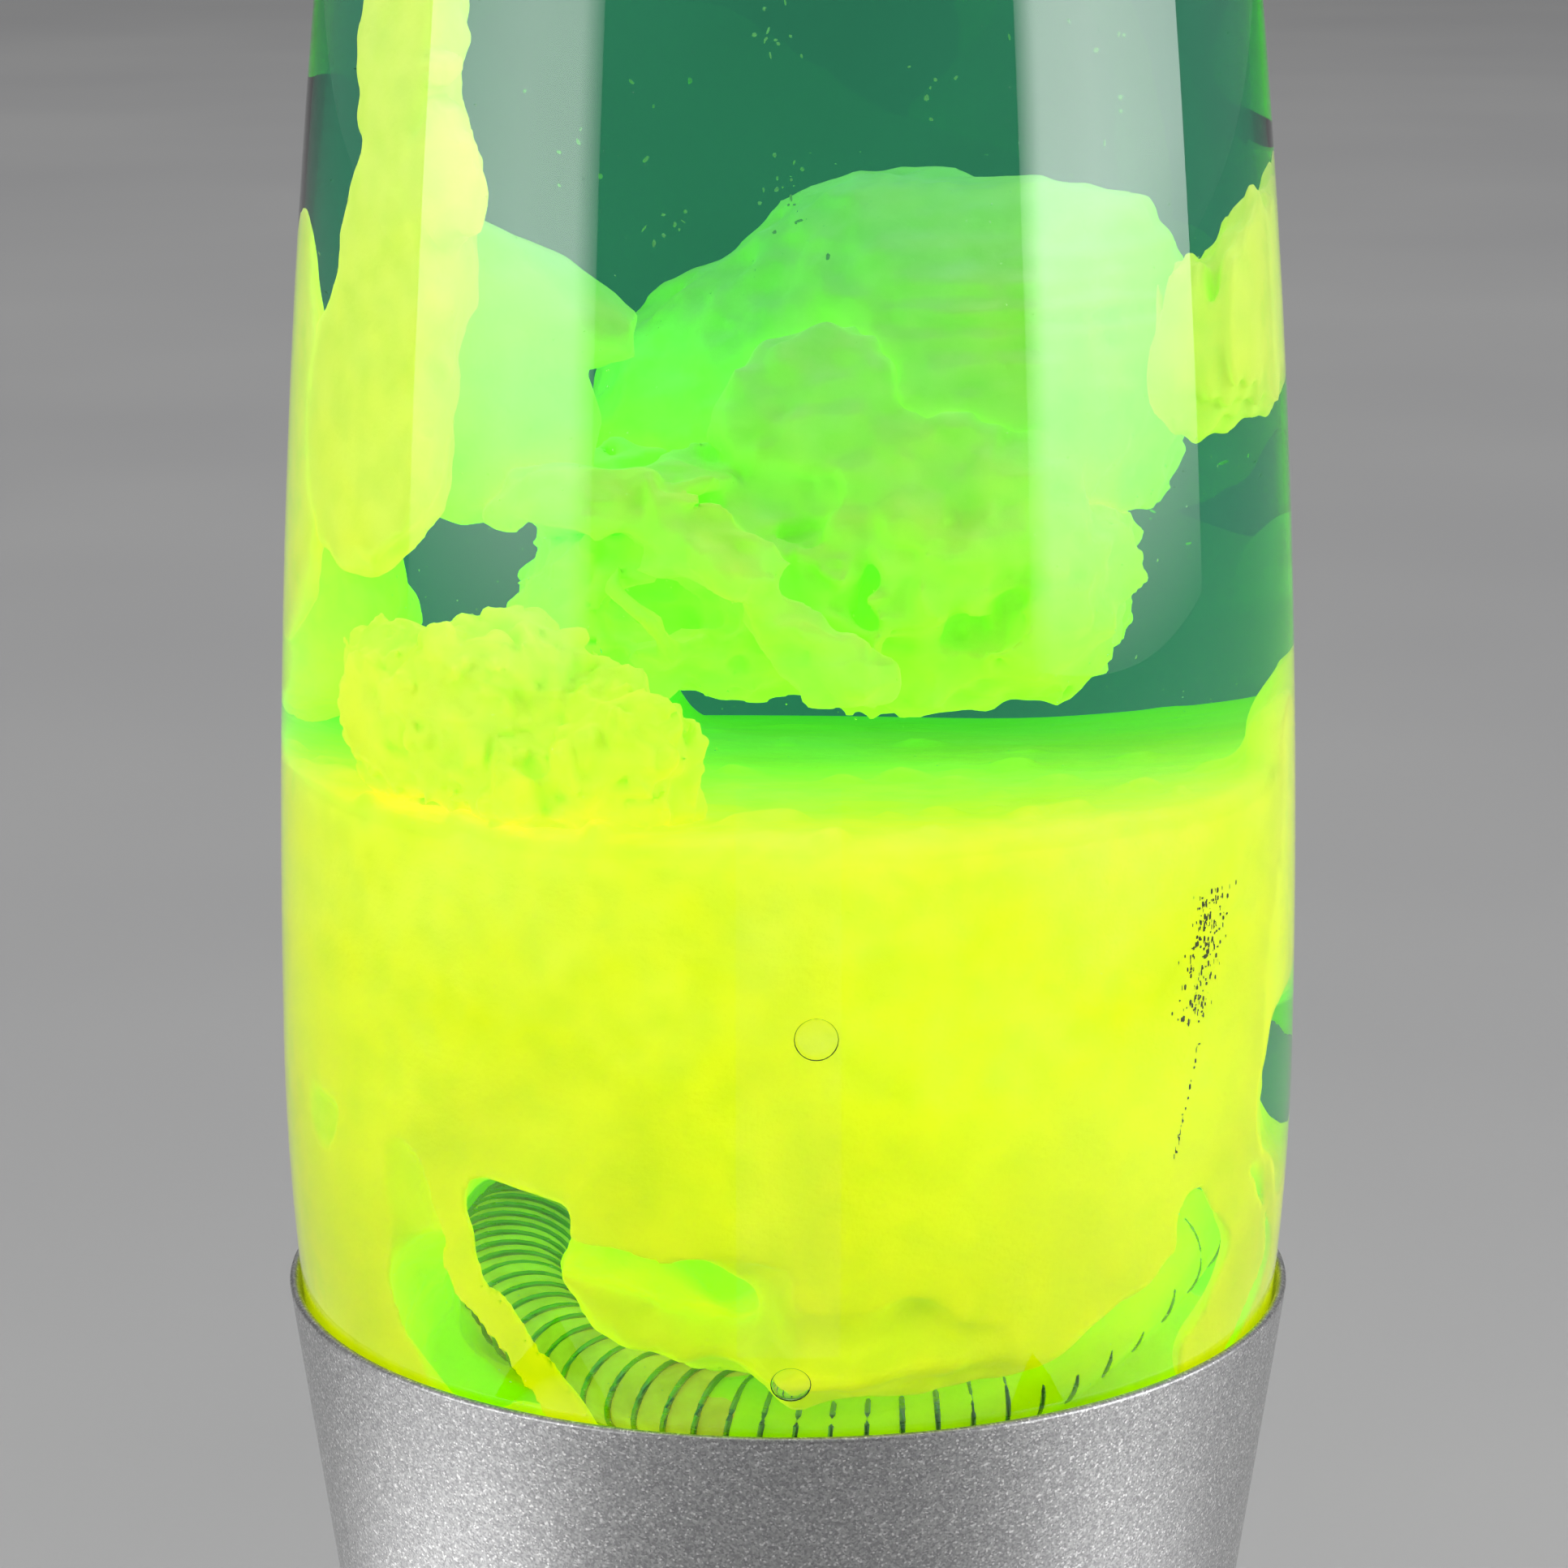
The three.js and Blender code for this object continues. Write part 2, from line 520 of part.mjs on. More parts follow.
// The bottle's outer radius: widest just above the rim, in both directions a slow curve.
function bottleRadius(z) {
  const above = z - BOTTLE_WIDEST_HEIGHT;
  return BOTTLE_WIDEST_RADIUS - (above > 0 ? 0.000515 : 0.00209) * above * above;
}

const CORNER_TOP = -2;
const CORNER_WIDTH = 10;
const INNER_CORNER_CENTRE = bottleRadius(0) - GLASS - CORNER_WIDTH;
const INNER_CORNER_DEPTH = 10.6;
const SIDE_HEIGHTS = [BOTTLE_WIDEST_HEIGHT, 65, 105, 140, 175, SHOULDER_HEIGHT];
const INNER_SHOULDER = [[20.6, LIQUID_LEVEL], [27.8, 213]];

function bottleGlass() {
  return turned([
    [0, BOTTLE_BOTTOM + 1.8], [24, BOTTLE_BOTTOM + 1.2], [31, BOTTLE_BOTTOM],
    ...arc(bottleRadius(CORNER_TOP) - CORNER_WIDTH, CORNER_TOP, CORNER_WIDTH,
      CORNER_TOP - BOTTLE_BOTTOM, -Math.PI / 2, 0, 3),
    ...SIDE_HEIGHTS.map((z) => [bottleRadius(z), z]),
    [30.4, 214], [26, 222.5], [17.5, 230.5], [13.3, 235], [12.6, 238], [13.3, 240.4],
    [13.3, 242.6], [12.7, 245.3], [11.6, BOTTLE_MOUTH], [9.6, BOTTLE_MOUTH], [8.8, 244.8],
    [8.8, 236], [11.5, 231], ...INNER_SHOULDER,
    ...SIDE_HEIGHTS.map((z) => [bottleRadius(z) - GLASS, z]).reverse(),
    ...arc(INNER_CORNER_CENTRE, 0, CORNER_WIDTH, INNER_CORNER_DEPTH, 0, -Math.PI / 2, 3),
    [24, -10.2], [0, -9.8],
  ], ROUND_SEGMENTS);
}

// The room inside the bottle up to the liquid's level, clear of the glass by the given gap.
function bottleInside(clearance, level) {
  return turned([
    [0, clearance - 9.8], [24, clearance - 10.2],
    ...arc(INNER_CORNER_CENTRE, 0, CORNER_WIDTH - clearance, INNER_CORNER_DEPTH - clearance,
      -Math.PI / 2, 0, 3),
    ...SIDE_HEIGHTS.map((z) => [bottleRadius(z) - GLASS - clearance, z]),
    ...INNER_SHOULDER.map(([r, z]) => [r - clearance, Math.min(z, level)]).reverse(),
    [0, level],
  ], ROUND_SEGMENTS);
}

function crownCap() {
  const flutes = 21;
  const fluteDepth = 0.04; // as a share of the radius, at the skirt's edge
  const skirtTop = 246.2;
  const skirtBottom = 240.6;
  const cap = turned([
    [0, 247.8], [11.4, 247.8], [14.4, skirtTop], [15.6, 240.8], [15.1, skirtBottom], [13.9, 246],
    [11.2, 247.3], [0, 247.3],
  ], flutes * 2);
  const position = cap.attributes.position;
  for (let i = 0; i < position.count; i++) {
    const [x, y, z] = [position.getX(i), position.getY(i), position.getZ(i)];
    const share = THREE.MathUtils.clamp((skirtTop - z) / (skirtTop - skirtBottom), 0, 1);
    const scale = 1 + fluteDepth * share * Math.cos(flutes * Math.atan2(y, x));
    position.setXY(i, x * scale, y * scale);
  }
  return cap;
}

// The heat spring: a long coil bent into a ring, which lies tilted on the bottle's floor.
const COIL_TILT = THREE.MathUtils.degToRad(20);
const COIL_ROLL = THREE.MathUtils.degToRad(-3);
const COIL_CENTRE = new THREE.Vector3(4.6, -2, 3.7);
const COIL_TURNS = 28;
const coilPlacement = new THREE.Matrix4()
  .makeRotationFromEuler(new THREE.Euler(COIL_TILT, COIL_ROLL, 0))
  .setPosition(COIL_CENTRE);

function heatSpring() {
  const pointAt = (t) => {
    const ring = t * TURN;
    const turn = t * TURN * COIL_TURNS;
    const r = COIL_RADIUS + COIL_TURN_RADIUS * Math.cos(turn);
    return new THREE.Vector3(r * Math.cos(ring), r * Math.sin(ring), COIL_TURN_RADIUS * Math.sin(turn));
  };
  return closedLoopTube(pointAt, COIL_TURNS * 6, COIL_WIRE_RADIUS, 3).applyMatrix4(coilPlacement);
}

// The room that the spring takes up: a plain ring round all its turns.
function springRoom() {
  const outside = COIL_TURN_RADIUS + COIL_WIRE_RADIUS + 2 * GAP;
  return new THREE.TorusGeometry(COIL_RADIUS, outside, 6, 16).applyMatrix4(coilPlacement);
}

// Wax pieces as rounded lumps: each lump is a centre and three radii. Each piece reaches the glass
// or another piece, so that it leaves no sealed room in the liquid.
const WAX_LUMPS = {
  wax_column: [[[-29, -25, 86], [11, 11, 15]], [[-28, -25, 110], [9.5, 9.5, 17]]],
  wax_crumb: [[[-24, -27, 60], [17, 12, 8.5]]],
  wax_back_left: [[[-31, 12, 66], [12, 13, 13]]],
  wax_left_lobe: [[[-19, -3, 89], [9.5, 9, 13]], [[-25, 5, 77], [6, 6, 8]]],
  wax_folds: [[[3, -7, 65.5], [20, 18, 12.5]]],
  wax_dome: [[[8, 6, 91], [18, 15, 17]]],
  wax_right_smear: [[[38, -4, 94], [7.5, 10, 12]]],
  wax_right_chunk: [[[37.5, -17, 10], [5.5, 6.5, 9]]],
  wax_left_strand: [[[-38, -20, 6], [4.5, 6, 12]]],
};

function lumps(name, grow) {
  return WAX_LUMPS[name]
    .map(([centre, radii]) => solid(new THREE.SphereGeometry(1, 8, 6)
      .scale(...radii.map((r) => r + grow))
      .translate(...centre)))
    .reduce((all, one) => all.add(one));
}

// The settled mass of wax across the bottle, grown by grow. A film of liquid runs round it.
function settledWax(grow) {
  const wall = bottleRadius(40) - GLASS - 4 * GAP;
  return solid(turned([
    [0, 14 - grow], [24, 14 - grow], [36 + grow * 0.6, 19 - grow * 0.8], [wall + grow, 36],
    [wall - 0.4 + grow, 49], [42 + grow * 0.6, 54.2 + grow], [0, 54.2 + grow],
  ], ROUND_SEGMENTS));
}

// The plug of wax inside the spring's ring, down to the bottle's floor.
function floorWax(grow) {
  return solid(rod(17 + grow, BOTTLE_BOTTOM, 10 + grow, 12).translate(COIL_CENTRE.x, COIL_CENTRE.y, 0));
}

function contents() {
  const room = solid(bottleInside(2 * GAP, LIQUID_LEVEL - GAP));
  const spring = solid(springRoom());
  const wax = new Map([
    ["wax_settled", settledWax(0).subtract(spring)],
    ["wax_floor", floorWax(0).intersect(room).subtract(spring)],
  ]);
  let taken = settledWax(GAP).add(floorWax(GAP)).add(spring);
  for (const name of Object.keys(WAX_LUMPS)) {
    wax.set(name, lumps(name, 0).intersect(room).subtract(taken));
    taken = taken.add(lumps(name, GAP));
  }
  const liquid = solid(bottleInside(GAP, LIQUID_LEVEL)).subtract(taken);
  return { wax, liquid };
}

function bottleGroup() {
  const group = new THREE.Group();
  group.position.z = RIM_HEIGHT;
  const { wax, liquid } = contents();
  group.add(
    named("glass_bottle", bottleGlass(), CLEAR_GLASS),
    named("crown_cap", crownCap(), PLATED_STEEL),
    named("crown_liner", rod(11.4, BOTTLE_MOUTH + GAP, BOTTLE_MOUTH + 0.9), LINER),
    named("heat_spring", heatSpring(), PLATED_STEEL),
    named("liquid", geometryOf(liquid), LIQUID),
    ...[...wax].map(([name, piece]) => named(name, geometryOf(piece), WAX)),
  );
  return group;
}

// ---- Top cap: a spun cone that sits loose on the bottle's shoulder ----
function topCap() {
  const bottom = SHOULDER_HEIGHT - 1;
  const top = TOTAL_HEIGHT - RIM_HEIGHT;
  const taper = 0.19;
  const bottomRadius = bottleRadius(bottom) + 0.5 + SHEET;
  const radius = (z) => bottomRadius - taper * (z - bottom);
  return turned([
    [0, top], [radius(top) - 1.6, top], [radius(top) - 0.5, top - 0.5], [radius(top - 1.6), top - 1.6],
    [bottomRadius, bottom + 0.3], [bottomRadius - 0.3, bottom], [bottomRadius - SHEET, bottom],
    [radius(top - 2) - SHEET, top - 2], [radius(top) - SHEET - 1.2, top - SHEET], [0, top - SHEET],
  ], ROUND_SEGMENTS);
}

function topCapGroup() {
  const group = new THREE.Group();
  group.position.z = RIM_HEIGHT;
  group.add(named("top_cap", topCap(), SILVER_PAINT));
  return group;
}

const lamp = new THREE.Group();
lamp.add(baseGroup(), holderGroup(), bulbGroup(), bottleGroup(), topCapGroup());

export default lamp;
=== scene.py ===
"""A lava lamp: neon wax in teal liquid, in a sealed glass bottle that stands in a silver base.

Lengths are millimetres until a mesh is made, and metres in Blender. The bottle and everything in it
are drawn with z above the base cup's rim, as in the CAD model.
"""
import itertools
import math

import bpy
import numpy as np
from mathutils import Euler, Matrix, Vector


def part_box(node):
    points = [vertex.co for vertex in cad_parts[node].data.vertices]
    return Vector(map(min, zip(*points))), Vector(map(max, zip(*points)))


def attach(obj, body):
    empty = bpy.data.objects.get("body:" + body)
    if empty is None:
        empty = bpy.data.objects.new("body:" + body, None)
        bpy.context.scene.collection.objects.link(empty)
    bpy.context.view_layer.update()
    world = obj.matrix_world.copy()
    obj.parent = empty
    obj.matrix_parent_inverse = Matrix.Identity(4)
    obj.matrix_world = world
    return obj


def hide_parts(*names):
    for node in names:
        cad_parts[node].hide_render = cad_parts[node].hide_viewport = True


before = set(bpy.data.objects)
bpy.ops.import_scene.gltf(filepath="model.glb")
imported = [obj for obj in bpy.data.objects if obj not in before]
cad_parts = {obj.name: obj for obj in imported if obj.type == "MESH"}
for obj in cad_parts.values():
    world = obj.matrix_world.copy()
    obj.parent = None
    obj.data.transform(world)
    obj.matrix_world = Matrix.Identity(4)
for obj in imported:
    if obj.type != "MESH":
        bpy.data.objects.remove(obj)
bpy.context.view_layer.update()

MM = 0.001


def cad_size(node):
    """The outer radius, lowest and highest point of a round CAD node, in millimetres."""
    low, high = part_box(node)
    return high[0] / MM, low[2] / MM, high[2] / MM


RIM_RADIUS, CUP_BOTTOM, RIM = cad_size("base_cup")
FOOT_RADIUS, FOOT_BOTTOM, FOOT_TOP = cad_size("base_foot")
BOTTLE_RADIUS, BOTTLE_BOTTOM, _ = cad_size("glass_bottle")
LIQUID_LEVEL = cad_size("liquid")[2] - RIM
CAP_TOP = cad_size("top_cap")[2]
SHEET = 0.9  # the spun metal's thickness
GLASS = 2.6  # the bottle wall's thickness


# ---- Camera: in front, a little above the rim, looking down on it through a long lens ----
def make_camera():
    distance, above_rim, pitch = 456, 157.8, 13.5
    data = bpy.data.cameras.new("camera")
    data.sensor_width = 36
    data.lens = 111.4
    data.clip_start = 0.02
    camera = bpy.data.objects.new("camera", data)
    camera.location = Vector((-0.4, -distance, RIM + above_rim)) * MM
    camera.rotation_euler = Euler((math.radians(90 - pitch), 0, 0))
    bpy.context.collection.objects.link(camera)
    bpy.context.scene.camera = camera


# ---- Mesh tools ----
def new_object(name, vertices, faces, material, smooth_below=40):
    """A mesh object from points in millimetres, its normals outwards, smooth but for sharp edges."""
    mesh = bpy.data.meshes.new(name)
    mesh.from_pydata((np.asarray(vertices) * MM).tolist(), [], faces)
    mesh.validate()
    piece = bpy.data.objects.new(name, mesh)
    bpy.context.collection.objects.link(piece)
    mesh.materials.append(material)
    mesh.shade_smooth()
    mesh.set_sharp_from_angle(angle=math.radians(smooth_below))
    return piece


def area_of(outline):
    pairs = zip(outline, outline[1:] + outline[:1])
    return sum(a[0] * b[1] - b[0] * a[1] for a, b in pairs) / 2


def revolved(outline, segments=160, lift=0.0):
    """Points and faces of a body of revolution. Its [radius, height] outline starts and ends on the
    axis, or closes on itself."""
    outline = [tuple(p) for p in outline]
    if area_of(outline) < 0:
        outline.reverse()
    on_axis = [r < 1e-6 for r, _ in outline]
    ring = not (on_axis[0] and on_axis[-1])
    vertices, first = [], []
    angles = np.arange(segments) * (2 * math.pi / segments)
    for (r, z), pole in zip(outline, on_axis):
        first.append(len(vertices))
        if pole:
            vertices.append((0, 0, z + lift))
        else:
            vertices += [(r * math.cos(a), r * math.sin(a), z + lift) for a in angles]
    faces = []
    count = len(outline)
    for i in range(count if ring else count - 1):
        j = (i + 1) % count
        for k in range(segments):
            n = (k + 1) % segments
            a, b = first[i] + (0 if on_axis[i] else k), first[i] + (0 if on_axis[i] else n)
            c, d = first[j] + (0 if on_axis[j] else n), first[j] + (0 if on_axis[j] else k)
            faces.append(tuple(dict.fromkeys((a, b, c, d))))
    return vertices, faces


def lathe(name, outline, material, segments=160, lift=0.0):
    return new_object(name, *revolved(outline, segments, lift), material)


def filleted(points, steps=5):
    """An outline with its corners rounded. A point is [radius, height] or [radius, height, fillet]."""
    result = []
    for i, point in enumerate(points):
        here = np.array(point[:2], float)
        size = point[2] if len(point) > 2 else 0
        if not size:
            result.append(tuple(here))
            continue
        before = np.array(points[i - 1][:2], float) - here
        after = np.array(points[(i + 1) % len(points)][:2], float) - here
        before /= np.linalg.norm(before)
        after /= np.linalg.norm(after)
        half = math.acos(np.clip(before @ after, -1, 1)) / 2
        reach = size / math.tan(half)
        middle = here + (before + after) / np.linalg.norm(before + after) * size / math.sin(half)
        start, end = here + before * reach - middle, here + after * reach - middle
        turn = math.atan2(start[0] * end[1] - start[1] * end[0], start @ end)
        for k in range(steps + 1):
            angle = turn * k / steps
            c, s = math.cos(angle), math.sin(angle)
            result.append(tuple(middle + (start[0] * c - start[1] * s, start[0] * s + start[1] * c)))
    return result


def arc(centre, radii, start, end, steps):
    """Points of part of an ellipse in an outline, between two angles in degrees."""
    angles = np.radians(np.linspace(start, end, steps + 1))
    return [(centre[0] + radii[0] * math.cos(a), centre[1] + radii[1] * math.sin(a)) for a in angles]


def closed_tube(path, radius, sides=8):
    """Points and faces of a round wire along a closed path."""
    ahead = np.roll(path, -1, axis=0) - np.roll(path, 1, axis=0)
    ahead /= np.linalg.norm(ahead, axis=1)[:, None]
    side = np.cross(ahead, (0.13, 0.27, 0.95))
    side /= np.linalg.norm(side, axis=1)[:, None]
    other = np.cross(ahead, side)
    angles = np.arange(sides) * (2 * math.pi / sides)
    rings = [p + radius * (np.outer(np.cos(angles), s) + np.outer(np.sin(angles), o))
             for p, s, o in zip(path, side, other)]
    faces = []
    for i in range(len(path)):
        j = (i + 1) % len(path)
        for k in range(sides):
            n = (k + 1) % sides
            faces.append((i * sides + k, i * sides + n, j * sides + n, j * sides + k))
    return np.concatenate(rings), faces


# ---- Fields: wax is drawn as a distance from its surface, below zero inside ----
class Space:
    """A block of space sampled on a grid, in millimetres."""

    def __init__(self, low, high, step):
        self.low, self.step = np.array(low, np.float32), step
        axes = [np.arange(a, b + step, step, dtype=np.float32) for a, b in zip(low, high)]
        self.points = np.meshgrid(*axes, indexing="ij")

    def mesh_of(self, values):
        """Where values cross zero: one vertex in each crossed cell, one face on each crossed edge."""
        inside = values < 0
        cells = [slice(None, -1), slice(1, None)]
        corners = sum(inside[c].astype(np.int8) for c in itertools.product(cells, repeat=3))
        active = (corners > 0) & (corners < 8)
        ids = np.full(active.shape, -1)
        ids[active] = np.arange(active.sum())
        cell = np.argwhere(active)
        total, count = np.zeros((len(cell), 3)), np.zeros((len(cell), 1))
        unit = np.eye(3, dtype=int)
        for axis in range(3):
            b, c = unit[(axis + 1) % 3], unit[(axis + 2) % 3]
            for i, j in itertools.product((0, 1), repeat=2):
                start = i * b + j * c
                v0 = values[tuple((cell + start).T)]
                v1 = values[tuple((cell + start + unit[axis]).T)]
                crossed = ((v0 < 0) != (v1 < 0))[:, None]
                share = (v0 / np.where(v0 == v1, 1, v0 - v1))[:, None]
                total += crossed * (start + share * unit[axis])
                count += crossed
        vertices = self.low + (cell + total / count) * self.step
        faces = []
        for axis in range(3):
            b, c = unit[(axis + 1) % 3], unit[(axis + 2) % 3]
            low = [slice(1, -1)] * 3
            low[axis] = slice(None, -1)
            high = list(low)
            high[axis] = slice(1, None)
            v0, v1 = inside[tuple(low)], inside[tuple(high)]
            at = np.argwhere(v0 != v1)
            starts_inside = v0[tuple(at.T)]
            at = at + 1 - unit[axis]
            around = [ids[tuple((at - b - c).T)], ids[tuple((at - c).T)],
                      ids[tuple(at.T)], ids[tuple((at - b).T)]]
            quads = np.stack(around, axis=1)
            faces.append(np.where(starts_inside[:, None], quads, quads[:, ::-1]))
        return vertices, np.concatenate(faces)


def without_scraps(vertices, faces, smallest):
    """Leaves out loose parts with fewer vertices than smallest."""
    label = np.arange(len(vertices))
    while True:
        lowest = label[faces].min(axis=1)
        new = label.copy()
        for k in range(4):
            np.minimum.at(new, faces[:, k], lowest)
        new = new[new]
        if (new == label).all():
            break
        label = new
    names, sizes = np.unique(label, return_counts=True)
    kept = np.isin(label, names[sizes >= smallest])
    index = np.cumsum(kept) - 1
    return vertices[kept], index[faces[kept[faces[:, 0]]]]


def noise(points, scale, seed):
    """Smooth values from -1 to 1 that change over about scale millimetres in each direction."""
    scale = np.broadcast_to(scale, 3)
    lattice = np.random.default_rng(seed).uniform(-1, 1, (32, 32, 32)).astype(np.float32)
    whole, part = [], []
    for values, size in zip(points, scale):
        cell = values / size + 100
        floor = np.floor(cell)
        t = cell - floor
        whole.append(floor.astype(np.int32))
        part.append(t * t * (3 - 2 * t))
    result = 0
    for corner in itertools.product((0, 1), repeat=3):
        weight, index = 1, []
        for c, w, p in zip(corner, whole, part):
            weight = weight * (p if c else 1 - p)
            index.append((w + c) & 31)
        result = result + weight * lattice[tuple(index)]
    return result


def warped(points, scale, amount, seed):
    """The points, each moved by up to amount, so that a shape drawn at them has a ragged outline."""
    return [p + amount * noise(points, scale, seed + k) for k, p in enumerate(points)]


def egg(points, centre, radii, turn=(0, 0, 0)):
    """An ellipsoid, turned about its centre by X, Y and Z angles in degrees."""
    matrix = np.array(Euler([math.radians(a) for a in turn]).to_matrix()).T
    moved = [p - c for p, c in zip(points, centre)]
    local = [sum(m * q for m, q in zip(row, moved)) / r for row, r in zip(matrix, radii)]
    length = np.sqrt(sum(q * q for q in local)) + 1e-6
    slope = np.sqrt(sum((q / r) ** 2 for q, r in zip(local, radii))) + 1e-6
    return length * (length - 1) / slope


def rope(points, start, end, start_radius, end_radius):
    """A round bar between two points that tapers from one radius to the other."""
    a, b = np.array(start, float), np.array(end, float)
    along = b - a
    share = sum((p - s) * d for p, s, d in zip(points, a, along)) / (along @ along)
    share = np.clip(share, 0, 1)
    away = np.sqrt(sum((p - s - share * d) ** 2 for p, s, d in zip(points, a, along)))
    return away - (start_radius + share * (end_radius - start_radius))


def outline_distance(x, z, outline):
    """How far (x, z) is outside a closed outline."""
    outline = np.array(outline, float)
    nearest, inside = np.inf, False
    for (ax, az), (bx, bz) in zip(outline, np.roll(outline, -1, axis=0)):
        dx, dz = bx - ax, bz - az
        share = np.clip(((x - ax) * dx + (z - az) * dz) / (dx * dx + dz * dz), 0, 1)
        nearest = np.minimum(nearest, (x - ax - share * dx) ** 2 + (z - az - share * dz) ** 2)
        crosses = ((az > z) != (bz > z)) & (x < ax + (z - az) * dx / (dz if dz else 1e-9))
        inside = inside ^ crosses
    return np.where(inside, -1, 1) * np.sqrt(nearest)


def pillow(points, outline, middle, half, edge):
    """A slab with an outline in x and z, centred on y = middle, its edges rounded by edge."""
    x, y, z = points
    flat = outline_distance(x, z, outline) + edge
    deep = np.abs(y - middle) - half + edge
    outside = np.sqrt(np.maximum(flat, 0) ** 2 + np.maximum(deep, 0) ** 2)
    return outside + np.minimum(np.maximum(flat, deep), 0) - edge


def joined(blend, first, *others):
    """Shapes run together, with the hollows between them filled over about blend millimetres."""
    for other in others:
        mix = np.clip(0.5 + 0.5 * (other - first) / blend, 0, 1)
        first = other + (first - other) * mix - blend * mix * (1 - mix)
    return first


def carved(blend, shape, *cutters):
    """A shape with cutters taken out of it, the edges rounded over about blend millimetres."""
    for cutter in cutters:
        shape = -joined(blend, -shape, cutter)
    return shape


# ---- The bottle's inside ----
WIDEST = 24  # the bottle's widest point, above the rim
CORNER = 10  # the radius inside, where the wall runs into the floor


def bottle_radius(z):
    """The bottle's outer radius, which curves in faster below its widest point."""
    above = z - WIDEST
    return BOTTLE_RADIUS - np.where(above > 0, 0.000515, 0.00209) * above * above


def inner_radius(z):
    return float(bottle_radius(z)) - GLASS


def glass_distance(points, gap):
    """How far outside the bottle's inner wall a point is, with the wall moved in by gap."""
    x, y, z = points
    r = np.sqrt(x * x + y * y)
    wall = r - (bottle_radius(z) - GLASS - gap)
    corner_r = inner_radius(0) - CORNER
    across, down = np.maximum(r - corner_r, 0), np.maximum(-z, 0)
    corner = np.sqrt(across ** 2 + down ** 2) - (CORNER - gap)
    return np.where(z < 0, corner, wall)


def at_wall(azimuth, z, depth):
    """A point at an azimuth in degrees, that far in from the inner wall."""
    r = inner_radius(z) - depth
    return r * math.cos(math.radians(azimuth)), r * math.sin(math.radians(azimuth)), z


def wall_egg(points, azimuth, z, depth, radii):
    """An ellipsoid near the wall. Its radii go inwards, round the wall and upwards."""
    return egg(points, at_wall(azimuth, z, depth), radii, (0, 0, azimuth))


# ---- The heat spring's ring ----
COIL_TILT = Euler((math.radians(20), math.radians(-3), 0)).to_matrix().to_4x4()
COIL_PLACE = Matrix.Translation((4.6, -2, 3.7)) @ COIL_TILT
COIL_RADIUS = 24
COIL_TURN_RADIUS = 4.2
COIL_WIRE = 0.27
RING_BEND = 6, 9  # how far the ring is bent outwards and up on its right


def ring_bend(angle):
    """How much of that bend there is at an angle round the ring."""
    return np.maximum(0, np.cos(angle + 0.25)) ** 6


def ring_point(degrees, radius=COIL_RADIUS, height=0.0):
    """A point on the ring's middle line, or at another radius and height from it."""
    a = math.radians(degrees)
    out, up = [reach * float(ring_bend(a)) for reach in RING_BEND]
    radius += out
    return COIL_PLACE @ Vector((radius * math.cos(a), radius * math.sin(a), height + up))


# ---- Wax ----
WAX_GAP = 0.12  # between wax and glass
TO_VIEWER = Vector((-0.15, -0.96, 0.23))  # the way out through the front left of the liquid


def ropes(points, path, blend=1.0):
    """Round bars through a path of (point, radius)."""
    bars = [rope(points, a, b, ra, rb) for (a, ra), (b, rb) in zip(path, path[1:])]
    return joined(blend, *bars)


def eggs(blend, points, *shapes):
    """Ellipsoids run together, each given as (centre, radii) or (centre, radii, turn)."""
    return joined(blend, *[egg(points, *shape) for shape in shapes])


def wall_eggs(blend, points, *shapes):
    """Ellipsoids near the wall run together, each given as (azimuth, z, depth, radii)."""
    return joined(blend, *[wall_egg(points, *shape) for shape in shapes])


def against_glass(blend, points, body):
    """What of a body is inside the bottle, with its edges rounded over about blend millimetres."""
    return -joined(blend, -body, -glass_distance(points, WAX_GAP))


def fades_in(values, start, over):
    """From 0 at start to 1 after that distance, which may be negative."""
    return np.clip((values - start) / over, 0, 1)


